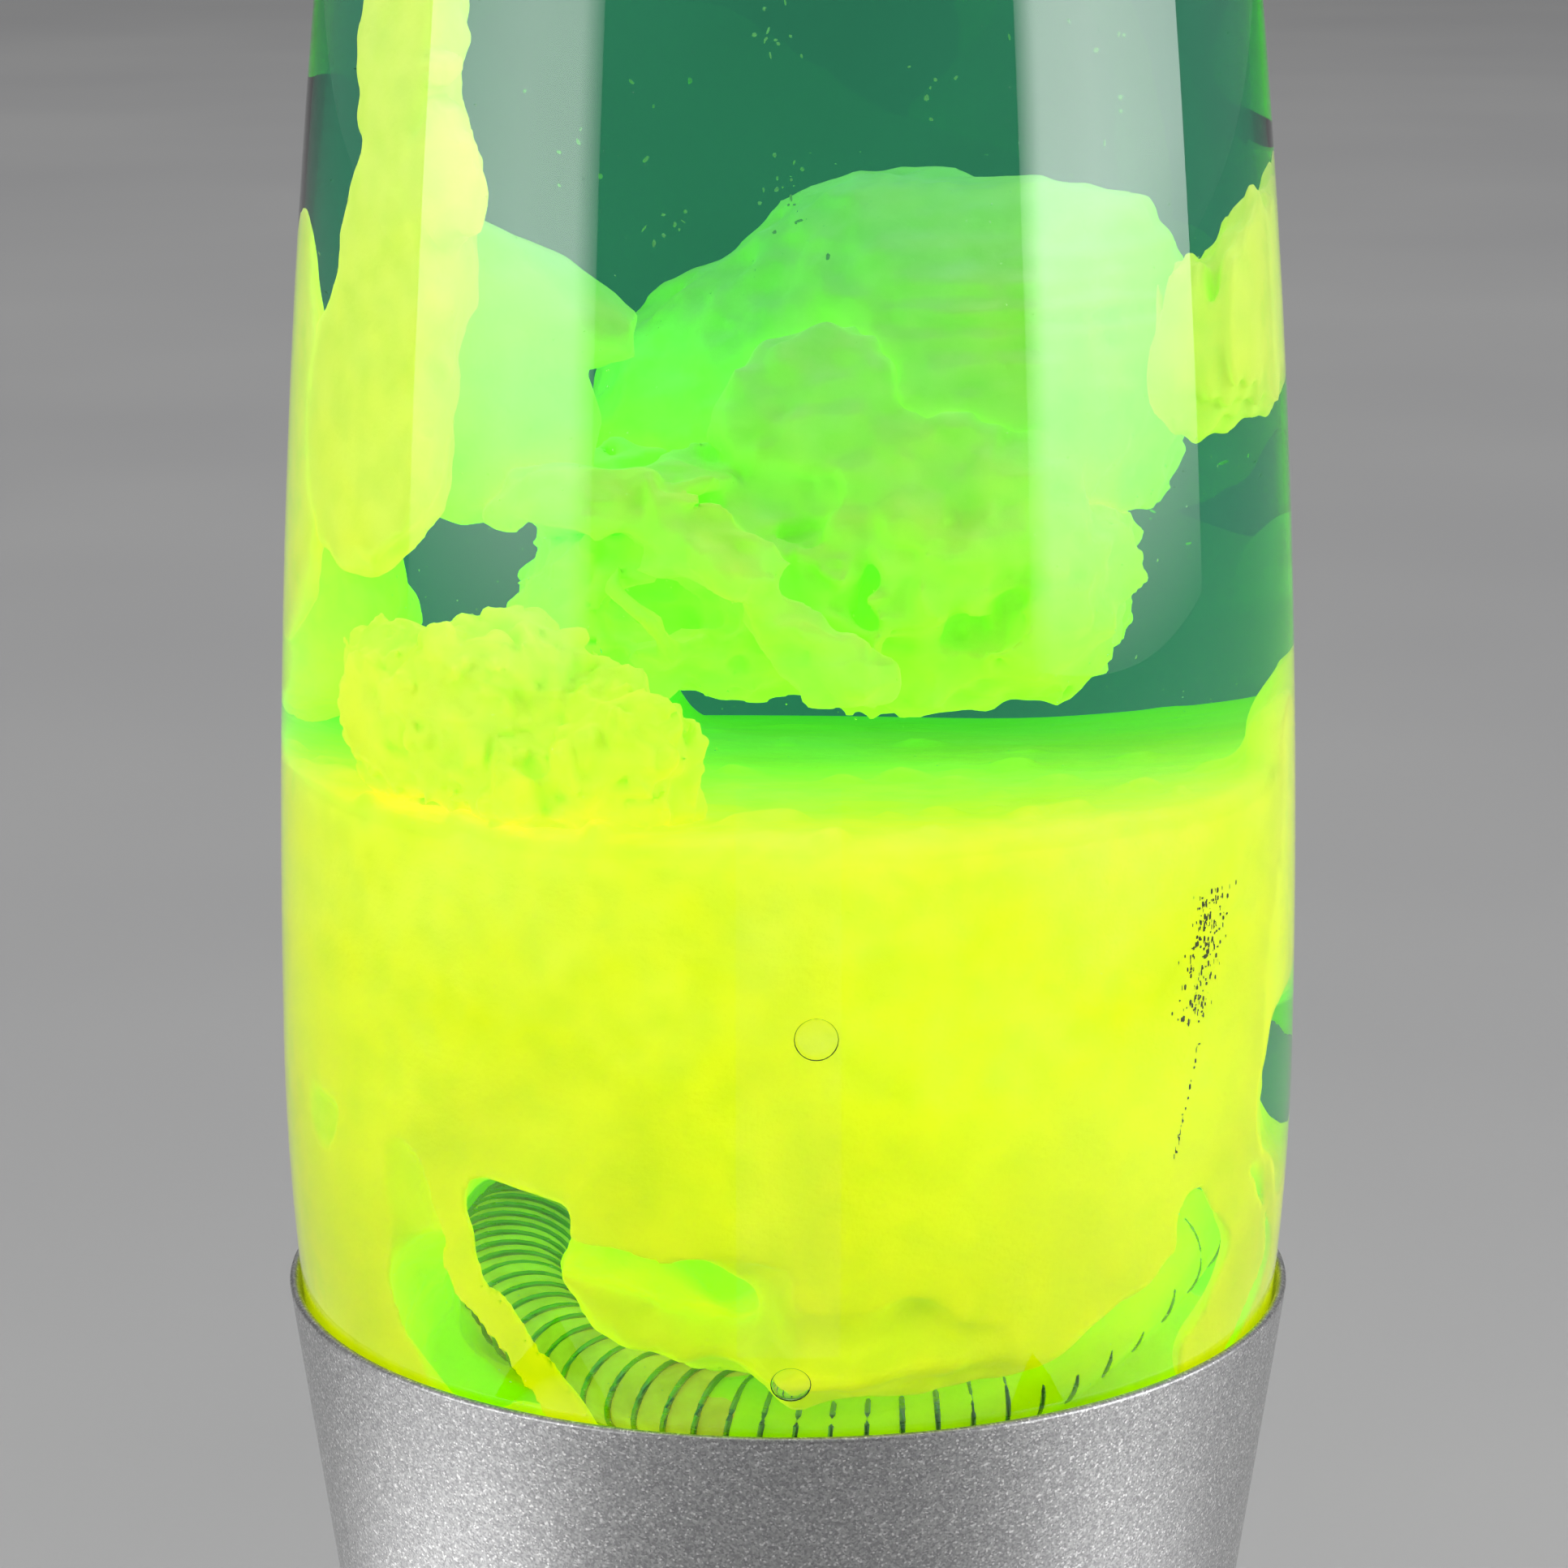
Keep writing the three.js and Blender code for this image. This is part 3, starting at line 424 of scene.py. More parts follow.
# Each shape below is drawn from the grid's points, and the same points moved about to roughen it.
def settled(p, rough):
    """The mass settled across the bottle, and the curtains and mound that reach down to its floor."""
    x, z = rough[0], p[2]
    flakes = np.maximum(0, noise(p, (4, 4, 9), 31) - 0.45) * 2.2
    top = 54.2 - 0.05 * (p[1] + 40) + 0.6 * noise(p, (12, 12, 30), 32) + flakes
    under = (17.5 + 0.2 * np.maximum(0, -x - 12) + 0.11 * np.maximum(0, x - 12)
             + np.maximum(0, x - 39.5) + 0.8 * noise(p, 9, 33))
    pool = against_glass(4, p, z - top)
    pool = joined(4, pool, egg(rough, (42, 3, 55), (8, 16, 6)), egg(rough, (-20, 36, 54), (14, 8, 5)))
    pool = -joined(2, -pool, z - under)

    below = z - under - 3
    coil_pockets = joined(1, *[rope(rough, ring_point(a), ring_point(a) + TO_VIEWER * 58, 5.3, 5.0)
                               for a in range(150, 250, 14)])
    below = carved(1.5, below, coil_pockets)
    front = joined(1.5, *[
        ropes(rough, [(ring_point(a, radius, height), cut) for a in range(254, 345, 12)])
        for radius, height, cut in ((31, 3, 4.6), (33.4, -2, 6.2), (37.5, 4, 6.0), (42.5, 9, 5.6))])
    recess = joined(2, ropes(rough, [((-17, -46, 9), 6.5), ((-5, -48, 9.5), 7)]),
                    ropes(rough, [((3, -48.5, 8), 4.5), ((18, -46, 7), 4.2), ((32, -38, 7), 3)]))
    hollows = eggs(2.5, rough, ((-7, -38, 12.5), (5, 9, 2.8), (0, 30, 0)), ((-14, -39, 15), (7, 7, 2.4)))
    below = carved(1.8, below, front, recess, hollows)
    dark_pocket = ropes(rough, [((-36, -31, 21), 2.2), ((-33, -34, 11), 4.4), ((-27.5, -37, 0), 7.4)])
    dark_depth = ropes(rough, [((-31, -30, 9), 4.5), ((-23, -21, -1), 8.5)])
    below = carved(1.2, below, joined(2, dark_pocket, dark_depth))
    crevice = joined(1, *[ropes(rough, path) for path in (
        [((37, -28, 14), 3.4), ((33, -16, 13), 4.5)], [((41, -23, 10), 3), ((35, -13, 7), 4.5)],
        [((39, -26, 4), 2.6), ((36, -22, 12), 3)])])
    slivers = eggs(1, rough, ((49, -9, 23), (9, 15, 10)), ((-48, -12, 33), (4, 7, 7)),
                   ((-42, -19.6, 24), (3, 3, 5)))
    behind = wall_eggs(1, rough, (62, 7, 0, (7, 13, 7)), (128, 4, 0, (5, 10, 8)),
                       (20, 2, 0, (4, 9, 6)), (168, 8, 0, (4, 8, 6)))
    below = carved(1.2, below, crevice, slivers, behind)
    strand = ropes(rough, [((-31.5, -33.5, 23), 2.3), ((-28, -37, 10), 2.1), ((-23, -40, 3), 2.6),
                           ((-18, -42, -5), 3.4)])
    right_flap = ropes(rough, [((40, -24, 17), 3.5), ((42, -18, 8), 4), ((38, -25, 0), 4)])
    below = joined(1.2, below, strand, right_flap)
    core = ropes(p, [(ring_point(a), COIL_TURN_RADIUS - 0.15) for a in range(246, 375, 6)])
    below = np.minimum(below, core + 0.15 * noise(p, 2.5, 34))

    right_gap = joined(2, egg(rough, (52, 4, 21.5), (15.5, 26, 13)),
                       rope(rough, (48, -12, 25), (24, 38, 12), 6.5, 8),
                       egg(rough, (51, -9, 35), (6.5, 13, 14)))
    pool = carved(3, pool, right_gap)
    shape = joined(1.5, pool, carved(1.5, below, slivers, right_gap))
    return np.maximum(shape, glass_distance(p, WAX_GAP))


def dome(p, q):
    x, _, z = p
    q[1] = q[1] - 0.35 * np.maximum(0, 10 - x)  # its left part lies farther back
    outline = [(-12.5, 77), (-13.5, 84), (-11.5, 89.5), (-7.5, 95.5), (-1, 101.2), (4.2, 106.6),
               (8.4, 107.4), (12, 106.2), (18, 106.2), (24, 105), (26, 100), (26.8, 91), (26.4, 82),
               (25, 76), (18, 74), (5, 72)]
    body = pillow(q, outline, 4, 12.5, 11)
    body = joined(4, body, egg(q, (14, -3, 88), (9, 7.5, 11)), egg(q, (2, -4.5, 82), (9, 6, 8)))
    body = body + 0.9 * np.abs(noise(q, 4.5, 49)) + 0.5 * np.abs(noise(p, 1.9, 50)) - 0.5
    lumps = [egg(q, (x0, -8, z0), (rx, 4, rz), (0, lean, 0)) for x0, z0, rx, rz, lean in (
        (2, 80, 3.4, 5, 20), (7, 84, 2.6, 6, -15), (12, 79, 3, 5, 10), (-4, 77, 4, 3, 0),
        (17, 82, 3, 4, 25))]
    body = joined(1.2, body, *lumps)
    ripple = (0.35 * np.sin(z * 2.6 + 1.5 * noise(p, 6, 47)) * fades_in(x, 4, 8)
              * np.clip(1 - abs(z - 96) / 9, 0, 1))
    streaks = 0.35 * noise(p, (2.2, 2.2, 10), 48) * fades_in(x, 2, 8) * fades_in(z, 92, -8)
    return body + ripple + streaks


def folds(p, q):
    outline = [(-14, 63), (-18, 68), (-17, 74), (-18, 79), (-13, 81.5), (-4, 81), (6, 84), (18, 83),
               (22, 77), (25.5, 73), (24, 66), (20, 61), (8, 60), (3, 61), (-4, 60.5)]
    body = joined(3, pillow(q, outline, -3, 12, 8), egg(q, (-9, -7, 68), (9.5, 9, 7)))
    flap = egg(q, (-13.5, -10, 79.5), (8.5, 8, 2.6), (0, -8, 0))
    ridge = ropes(q, [((-9, -17, 78), 2.6), ((-3, -18.5, 73), 3.2), ((1, -19, 68), 2.4),
                      ((4.5, -18.5, 64), 3)])
    knobs = eggs(1.5, q, ((9.5, -13, 78), (2.6, 3.5, 2.6)), ((6, -14, 72), (2.2, 3, 5)),
                 ((13, -12.5, 75), (4, 3, 2.2)), ((17, -10, 80), (4, 4, 3)))
    body = joined(1.5, body, flap, ridge, knobs)
    bowl = eggs(1, q, ((-9, -17, 69.3), (6.8, 10, 4.2)), ((6.2, -17, 71), (1.5, 6, 4.5)),
                ((0, -16, 78.5), (3.5, 4, 2.2), (0, 30, 0)), ((14, -16, 67), (5, 5, 2.6), (0, -20, 0)))
    body = carved(0.8, body, bowl, egg(q, (-18, -12, 75.4), (7, 9, 1.4), (0, -6, 0)))
    web = ropes(q, [((-13, -16, 73), 0.9), ((-10.5, -16.6, 69.5), 0.7), ((-8.5, -16, 65.5), 0.9)])
    crumple = 1.5 * np.abs(noise(p, 4.2, 57)) + 0.8 * np.abs(noise(p, 1.8, 58))
    rise = eggs(3, q, ((3, -7, 86), (9, 5.5, 8)), ((13, -7, 84), (9, 5, 6)))
    return joined(0.6, joined(3, body + crumple - 0.9, rise + 0.3 * crumple), web)


def crumb(p, q):
    body = eggs(2.5, q, ((-31, -22.5, 61.5), (7.5, 6, 7)), ((-24, -28, 61.5), (9, 6, 8)),
                ((-15, -32, 60), (7, 6.5, 5.6)), ((-17, -32, 56), (9, 6.5, 5)),
                ((-23, -27, 67), (5, 4, 3)))
    knobs = 1.5 * np.abs(noise(p, 2.4, 70)) + 0.8 * np.abs(noise(p, 1.3, 71))
    return against_glass(0.8, p, body - knobs)


def column(p, q):
    body = wall_eggs(4, q, (213.5, 152, 3, (6, 5.0, 26)), (215, 123, 3, (7, 5.4, 11)),
                     (214, 110, 3, (6, 4.4, 9)), (214.5, 100, 3, (8, 7.5, 10)),
                     (209, 86, 3, (9, 11.5, 12)))
    tufts = wall_eggs(1, q, (223.5, 110.5, 2, (5, 4.4, 6)), (228, 109.5, 1.5, (3, 2.6, 3.4)),
                      (223, 119, 1.5, (3, 2.6, 1.8)))
    frayed = 0.7 * np.abs(noise(p, (1.6, 1.6, 2.6), 90))
    return against_glass(1.5, p, joined(1, body, tufts + frayed))


def left_lobe(p, q):
    outline = [(-28, 104), (-22, 103.5), (-15.6, 98.8), (-11, 94.5), (-11, 91.6), (-15, 90), (-13, 86),
               (-13.4, 81.5), (-16.4, 77.6), (-24, 76), (-31, 80), (-32, 96)]
    return pillow(q, outline, -1, 9, 6)


def back_left(p, q):
    body = joined(4, egg(q, (-35, 8, 68), (9.5, 15, 14)), wall_egg(q, 187, 84, 2, (5, 11, 20)))
    return against_glass(1.5, p, body)


def right_smear(p, q):
    q = [a + 1.1 * noise(p, (1.6, 1.6, 9), 111 + k) for k, a in enumerate(q)]
    body = eggs(3, q, ((39, -8, 96), (7, 12, 10)), ((33, -14, 93), (5, 6, 8)), ((40, 2, 100), (5, 7, 9)))
    return against_glass(0.8, p, body)


def spring_core(p, q):
    """The murky wax that fills the spring where it is bare."""
    return ropes(q, [(ring_point(a), 3.85) for a in range(150, 258, 6)]) + 0.25 * noise(p, 3, 121)


def ball(centre, radii, steps=10, outwards=True):
    """Points and faces of an ellipsoid."""
    points, faces = revolved(arc((0, 0), (1, 1), -90, 90, steps), steps * 2)
    points = np.array(points) * radii + centre
    return points, faces if outwards else [f[::-1] for f in faces]


def merged(parts):
    points, faces, start = [], [], 0
    for vertices, polygons in parts:
        points.append(np.asarray(vertices))
        faces += [tuple(int(i) + start for i in f) for f in polygons]
        start += len(vertices)
    return np.concatenate(points), faces


def loose_flakes():
    """Specks of wax in loose clusters among the liquid, each (centre, spread, count)."""
    rng = np.random.default_rng(7)
    clusters = [((-1, -25, 122), 3, 12), ((11, -22, 117), 3, 6), ((0, -20, 108), 4, 16),
                ((-9, -24, 106), 3, 8), ((-12, -15, 112), 9, 10), ((24, -12, 118), 8, 8),
                ((-20, -26, 66), 4, 7), ((6, 10, 135), 16, 14), ((30, 10, 76), 8, 8)]
    flakes = []
    for centre, spread, count in clusters:
        for _ in range(count):
            place = np.array(centre) + rng.normal(0, spread / 2, 3)
            size = rng.uniform(0.07, 0.26, 3) * (1.6, 1, 0.7)
            points, faces = ball((0, 0, 0), size, 3)
            points = points * rng.uniform(0.7, 1.3, points.shape)
            turn = np.array(Euler(rng.uniform(0, 3, 3)).to_matrix())
            flakes.append((points @ turn.T + place, faces))
    return merged(flakes)


def grit():
    """A smudge of dark grit between the wax and the glass, on the right, with a thin trail below."""
    rng = np.random.default_rng(19)
    grains = []
    for azimuth, low, high, count, spread in ((-37.5, 33, 45, 200, 1.7), (-40.5, 20, 31, 26, 0.15)):
        for _ in range(count):
            share = rng.uniform()
            z = low + share * (high - low)
            turn = azimuth + 4.5 * (share - 0.5) + rng.normal(0, spread)
            points, faces = ball((0, 0, 0), rng.uniform(0.05, 0.25, 3) * (0.5, 1, 1.5), 3)
            facing = np.array(Matrix.Rotation(math.radians(turn), 3, "Z"))
            grains.append((points @ facing.T + at_wall(turn, z, 0.14), faces))
    return merged(grains)


def wax_pieces(neon, murky, flake, soot):
    # name, material, shape, block of space, grid step, warps, smallest loose part kept, CAD nodes
    masses = [
        ("settled_wax", neon, settled, (-47, -47, -11.5), (47, 47, 67), 0.55,
         ((5.5, 1.1, 11), (2.0, 0.3, 21)), 4000,
         "wax_settled", "wax_floor", "wax_left_strand", "wax_right_chunk"),
        ("dome_wax", neon, dome, (-20, -18, 66), (34, 34, 114), 0.5, ((8, 1.1, 41), (2.6, 0.35, 44)),
         800, "wax_dome"),
        ("folded_wax", neon, folds, (-25, -24, 58), (29, 14, 98), 0.45, ((6, 1.5, 51), (2.2, 0.75, 54)),
         800, "wax_folds"),
        ("crumbled_wax", neon, crumb, (-46, -46, 50), (-4, -16, 74), 0.38,
         ((5, 1.4, 61), (2.6, 0.9, 64), (1.2, 0.4, 67)), 200, "wax_crumb"),
        ("column_wax", neon, column, (-46, -42, 70), (-18, 2, 176), 0.5,
         ((7, 1.4, 81), (2.6, 0.7, 84), (1.2, 0.25, 87)), 800, "wax_column"),
        ("left_lobe_wax", neon, left_lobe, (-36, -14, 68), (-6, 18, 108), 0.5,
         ((7, 1.0, 91), (2.5, 0.4, 94)), 800, "wax_left_lobe"),
        ("back_left_wax", neon, back_left, (-46, -22, 54), (-18, 30, 108), 0.6,
         ((7, 1.4, 101), (2.5, 0.5, 104)), 800, "wax_back_left"),
        ("right_smear_wax", neon, right_smear, (24, -30, 76), (46, 14, 116), 0.45, ((6, 1.0, 114),),
         60, "wax_right_smear"),
        ("spring_core_wax", murky, spring_core, (-26, -32, -12), (4, 16, 14), 0.45, (), 0),
    ]
    for name, material, shape, low, high, step, warps, smallest, *nodes in masses:
        space = Space(low, high, step)
        roughened = space.points
        for warp in warps:
            roughened = warped(roughened, *warp)
        vertices, faces = without_scraps(*space.mesh_of(shape(space.points, roughened)), smallest)
        piece = new_object(name, vertices + (0, 0, RIM), faces.tolist(), material, smooth_below=180)
        keep(piece, "bottle", "wax", *nodes)
    for name, material, make in (("wax_flakes", flake, loose_flakes), ("dark_grit", soot, grit)):
        vertices, faces = make()
        keep(new_object(name, vertices + (0, 0, RIM), faces, material), "bottle", "wax")


def keep(piece, body, slot, *nodes):
    """Hands a piece over to its body, and hides the CAD nodes that it replaces. Its slot is not used."""
    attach(piece, body)
    if nodes:
        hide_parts(*nodes)


# ---- Materials ----
class Shader:
    """A material under construction."""

    def __init__(self, name):
        self.material = bpy.data.materials.new(name)
        self.material.use_nodes = True
        self.tree = self.material.node_tree
        self.tree.nodes.clear()
        self.output = self.node("OutputMaterial")
        self.place = self.node("TexCoord").outputs["Object"]

    def node(self, kind, inputs=None, **settings):
        made = self.tree.nodes.new("ShaderNode" + kind)
        for key, value in settings.items():
            setattr(made, key, value)
        for key, value in (inputs or {}).items():
            if isinstance(value, bpy.types.NodeSocket):
                self.tree.links.new(value, made.inputs[key])
            else:
                made.inputs[key].default_value = value
        return made

    def noise(self, scale, detail=3, roughness=0.5, place=None):
        inputs = {"Vector": place or self.place, "Scale": scale, "Detail": detail, "Roughness": roughness}
        return self.node("TexNoise", inputs).outputs["Fac"]

    def spread(self, value, low, high, to_low=0.0, to_high=1.0):
        inputs = {"Value": value, "From Min": low, "From Max": high, "To Min": to_low, "To Max": to_high}
        return self.node("MapRange", inputs).outputs["Result"]

    def ramp(self, value, *stops):
        """Colours along a value, as (position, colour) stops."""
        made = self.node("ValToRGB", {"Fac": value})
        elements = made.color_ramp.elements
        while len(elements) < len(stops):
            elements.new(0.5)
        for element, (position, color) in zip(elements, stops):
            element.position = position
            element.color = (*color, 1)
        return made.outputs["Color"]

    def mix(self, share, a, b, how="MIX"):
        made = self.node("Mix", data_type="RGBA", blend_type=how)
        for index, value in ((0, share), (6, a), (7, b)):
            if isinstance(value, bpy.types.NodeSocket):
                self.tree.links.new(value, made.inputs[index])
            else:
                made.inputs[index].default_value = value if index == 0 else (*value, 1)
        return made.outputs[2]

    def bump(self, height, distance, strength=1.0, normal=None):
        inputs = {"Height": height, "Distance": distance, "Strength": strength}
        if normal:
            inputs["Normal"] = normal
        return self.node("Bump", inputs).outputs["Normal"]

    def axis(self, vector, name):
        return self.node("SeparateXYZ", {"Vector": vector}).outputs[name]

    def length_of(self, vector, scale):
        """The length of a vector whose parts are first multiplied by scale."""
        scaled = self.node("VectorMath", {0: vector, 1: scale}, operation="MULTIPLY").outputs["Vector"]
        return self.node("VectorMath", {0: scaled}, operation="LENGTH").outputs["Value"]

    def tinted(self, share, color, tint):
        """A colour multiplied by a tint, by that share."""
        return self.mix(share, color, self.mix(1.0, color, tint, "MULTIPLY"))

    def surface(self, inputs, kind="BsdfPrincipled"):
        made = self.node(kind, inputs)
        self.tree.links.new(made.outputs[0], self.output.inputs["Surface"])
        return self.material


def silver_paint():
    """Silver powder coat: metal flakes a few tenths of a millimetre across, under a clear resin."""
    s = Shader("silver_powder_coat")
    flakes = s.node("TexVoronoi", {"Vector": s.place, "Scale": 5200})
    shade = s.node("SeparateColor", {"Color": flakes.outputs["Color"]})
    drift = s.spread(s.noise(60, 2), 0.35, 0.65, 0.0, 0.10)
    gray = s.ramp(shade.outputs["Red"], (0.0, (0.28, 0.28, 0.285)), (0.6, (0.42, 0.42, 0.42)),
                  (0.9, (0.52, 0.52, 0.52)), (1.0, (0.80, 0.80, 0.79)))
    gray = s.mix(drift, gray, (0.30, 0.30, 0.31))
    tilt = s.bump(shade.outputs["Green"], 0.00004, 0.35)
    peel = s.bump(s.noise(1100, 2), 0.00005, 0.4, tilt)
    return s.surface({
        "Base Color": gray, "Metallic": 1.0,
        "Roughness": s.spread(shade.outputs["Blue"], 0, 1, 0.40, 0.52), "Normal": peel})


def metal(name, color, roughness=0.28, worn=(0.5, 0.5, 0.5)):
    s = Shader(name)
    brushed = s.node("Mapping", {"Vector": s.place, "Scale": (300, 300, 4200)}).outputs["Vector"]
    lines = s.noise(1, 3, place=brushed)
    stain = s.noise(180, 4, 0.6)
    base = s.mix(s.spread(stain, 0.5, 0.72, 0, 0.55), color, worn)
    return s.surface({
        "Base Color": base, "Metallic": 1.0,
        "Roughness": s.spread(lines, 0.3, 0.7, roughness * 0.7, roughness * 1.5),
        "Normal": s.bump(lines, 0.00003, 0.5)})


def moulded(name, color, lighter, roughness, grain=1400, depth=0.00006, **more):
    """Plastic, rubber or ceramic: a fine grain, and patches where it is rubbed or dusty."""
    s = Shader(name)
    patches = s.noise(90, 4, 0.6)
    fine = s.noise(grain, 3, 0.6)
    base = s.mix(s.spread(patches, 0.45, 0.75), color, lighter)
    return s.surface({
        "Base Color": base, "Roughness": s.spread(patches, 0.3, 0.7, roughness * 0.8, roughness * 1.2),
        "Normal": s.bump(fine, depth, 0.6), **more})


def bottle_glass():
    s = Shader("bottle_glass")
    waves = s.bump(s.noise(28, 1), 0.0004, 0.35)
    seeds = s.noise(2200, 1)
    return s.surface({
        "Base Color": (1, 1, 1, 1), "Roughness": 0.0, "IOR": 1.5, "Transmission Weight": 1.0,
        "Normal": s.bump(s.spread(seeds, 0.76, 0.8), 0.00002, 0.4, waves)})


def refracting(s, index, depth, strength):
    """A clear surface that only bends light, with faint waves."""
    waves = s.bump(s.noise(24, 1), depth, strength)
    inputs = {"Color": (1, 1, 1, 1), "Roughness": 0.0, "IOR": index, "Normal": waves}
    return s.surface(inputs, "BsdfRefraction")


def wetted_glass():
    """The inside of the glass where liquid wets it, which reflects almost nothing."""
    return refracting(Shader("wetted_glass"), 1.5, 0.0004, 0.25)


def teal_liquid():
    s = Shader("teal_liquid")
    absorbed = s.node("VolumeAbsorption", {"Color": (0.06, 0.83, 0.60, 1), "Density": 36.0})
    s.tree.links.new(absorbed.outputs["Volume"], s.output.inputs["Volume"])
    return refracting(s, 1.36, 0.0002, 0.1)


def neon_wax():
    """Fluorescent wax with a painted glow for the bulb's light from below: yellow low down and greener
    upwards, with painted shade in the bottle's middle, in its crevices and where it faces up."""
    s = Shader("neon_wax")
    cloud = s.noise(85, 3, 0.55)
    uneven = s.spread(cloud, 0.3, 0.7, -0.010, 0.010)
    risen = s.node("Math", {0: s.axis(s.place, "Z"), 1: uneven}, operation="ADD").outputs[0]
    share = s.spread(risen, 0.150, 0.290)
    radius = s.length_of(s.place, (1, 1, 0))
    # Painted glow by height: one ramp for wax at the wall, and one for wax nearer the middle, painted
    # darker low down.
    painted_glow_at_wall = s.ramp(share, (0.0, (0.44, 0.54, 0.0)), (0.15, (0.53, 0.65, 0.0)),
                          (0.35, (0.66, 0.81, 0.0)), (0.52, (0.71, 0.88, 0.02)),
                          (0.75, (0.65, 0.84, 0.06)), (1.0, (0.60, 0.78, 0.14)))
    painted_glow_inside = s.ramp(share, (0.0, (0.08, 0.16, 0.0)), (0.18, (0.22, 0.34, 0.0)),
                         (0.42, (0.98, 0.78, 0.03)), (0.55, (0.90, 0.88, 0.05)),
                         (0.75, (0.60, 0.84, 0.13)), (1.0, (0.42, 0.76, 0.24)))
    # Painted shade in the bottle's middle: towards the axis the glow shifts to the inner ramp.
    glow = s.mix(s.spread(radius, 0.014, 0.034), painted_glow_inside, painted_glow_at_wall)
    # Painted shade where the wax faces up: the glow is multiplied by a tint there.
    facing = s.axis(s.node("TexCoord").outputs["Normal"], "Z")
    painted_top_shade = s.mix(s.spread(radius, 0.028, 0.044), (1.1, 0.70, 1.8), (0.85, 0.88, 1.2))
    glow = s.tinted(s.spread(facing, 0.2, 1.0), glow, painted_top_shade)
    mottle = s.spread(s.noise(300, 4, 0.6), 0.4, 0.7, 0.0, 0.5)
    glow = s.tinted(mottle, glow, (0.55, 0.80, 0.5))
    # Painted shade in crevices: the glow is tinted darker and greener where ambient occlusion finds the
    # wax's own surface close by.
    nearby = s.node("AmbientOcclusion", {"Distance": 0.0045}, only_local=True, samples=3)
    painted_crease_shade = s.spread(nearby.outputs["AO"], 0.25, 0.9, 1.0, 0.0)
    glow = s.tinted(painted_crease_shade, glow, (0.25, 0.55, 0.20))
    # The base colour is yellower low down and greener upwards.
    tint = s.ramp(share, (0.0, (0.72, 0.85, 0.0)), (0.35, (0.78, 0.92, 0.0)), (0.7, (0.62, 0.88, 0.12)),
                  (1.0, (0.66, 0.92, 0.16)))
    ripples = s.bump(s.noise(160, 3, 0.5), 0.0010, 0.5)
    return s.surface({
        "Base Color": tint, "Roughness": s.spread(cloud, 0.3, 0.7, 0.38, 0.52), "IOR": 1.45,
        "Subsurface Weight": 0.25, "Subsurface Radius": (1.0, 1.0, 0.25), "Subsurface Scale": 0.003,
        "Emission Color": glow, "Emission Strength": 0.84, "Specular IOR Level": 0.08,
        "Normal": s.bump(s.noise(700, 4, 0.6), 0.0002, 0.5, ripples)})


def murky_wax():
    """Amber wax that looks olive through the liquid."""
    s = Shader("murky_wax")
    cloud = s.noise(260, 3, 0.6)
    tint = s.ramp(cloud, (0.3, (0.68, 0.46, 0.03)), (0.7, (0.92, 0.66, 0.05)))
    # Painted glow: an emission in the wax's own colour stands in for the bulb's light.
    return s.surface({
        "Base Color": tint, "Roughness": s.spread(cloud, 0.3, 0.7, 0.35, 0.6),
        "Emission Color": tint, "Emission Strength": 0.5, "Specular IOR Level": 0.1,
        "Normal": s.bump(s.noise(700, 3), 0.0003, 0.6)})


def frosted_glass():
    s = Shader("frosted_glass")
    grain = s.noise(2600, 2)
    return s.surface({
        "Base Color": (0.95, 0.94, 0.9, 1), "Roughness": 0.45, "IOR": 1.5, "Transmission Weight": 0.75,
        "Emission Color": (1.0, 0.86, 0.6, 1), "Emission Strength": 0.7,
        "Normal": s.bump(grain, 0.00004, 0.6)})


def stem_glass():
    s = Shader("stem_glass")
    return s.surface({"Base Color": (0.96, 0.98, 0.97, 1), "Roughness": 0.04, "IOR": 1.5,
                      "Transmission Weight": 1.0, "Normal": s.bump(s.noise(300, 2), 0.0002, 0.3)})


# ---- Base ----
CUP_TAPER = 0.143
WAIST_RADIUS = RIM_RADIUS - CUP_TAPER * (RIM - CUP_BOTTOM)
HEM = 6  # the height of the foot's upright edge
FOOT_CONE = FOOT_RADIUS - 0.6
CONE_LEAN = math.atan((FOOT_CONE - WAIST_RADIUS) / (FOOT_TOP - HEM))
FLANGE = 27  # the radius of the opening between cup and foot


def apply_cut(piece, *cutters):
    """Takes the cutters' shapes out of a piece, and removes the cutters."""
    for cutter in cutters:
        modifier = piece.modifiers.new("cut", "BOOLEAN")
        modifier.operation = "DIFFERENCE"
        modifier.solver = "EXACT"
        modifier.object = cutter
    bpy.context.view_layer.update()
    seen = piece.evaluated_get(bpy.context.evaluated_depsgraph_get())
    mesh = bpy.data.meshes.new_from_object(seen)
    piece.modifiers.clear()
    piece.data = mesh
    for cutter in cutters:
        bpy.data.objects.remove(cutter)
    mesh.shade_smooth()
    mesh.set_sharp_from_angle(angle=math.radians(40))


def pegs(places, low, high, material, segments=32):
    """Upright cutters as one object, at (x, y, radius) places."""
    parts = []
    for x, y, radius in places:
        points, faces = revolved([(0, low), (radius, low), (radius, high), (0, high)], segments)
        parts.append((np.array(points) + (x, y, 0), faces))
    return new_object("cutter", *merged(parts), material)


def round_axis(radius, count, first, size):
    """Places for pegs, evenly round the lamp's axis."""
    angles = [math.radians(first) + 2 * math.pi * i / count for i in range(count)]
    return [(radius * math.cos(a), radius * math.sin(a), size) for a in angles]


CLAMP_HOLES = round_axis(29.6, 3, 0, 1.85)


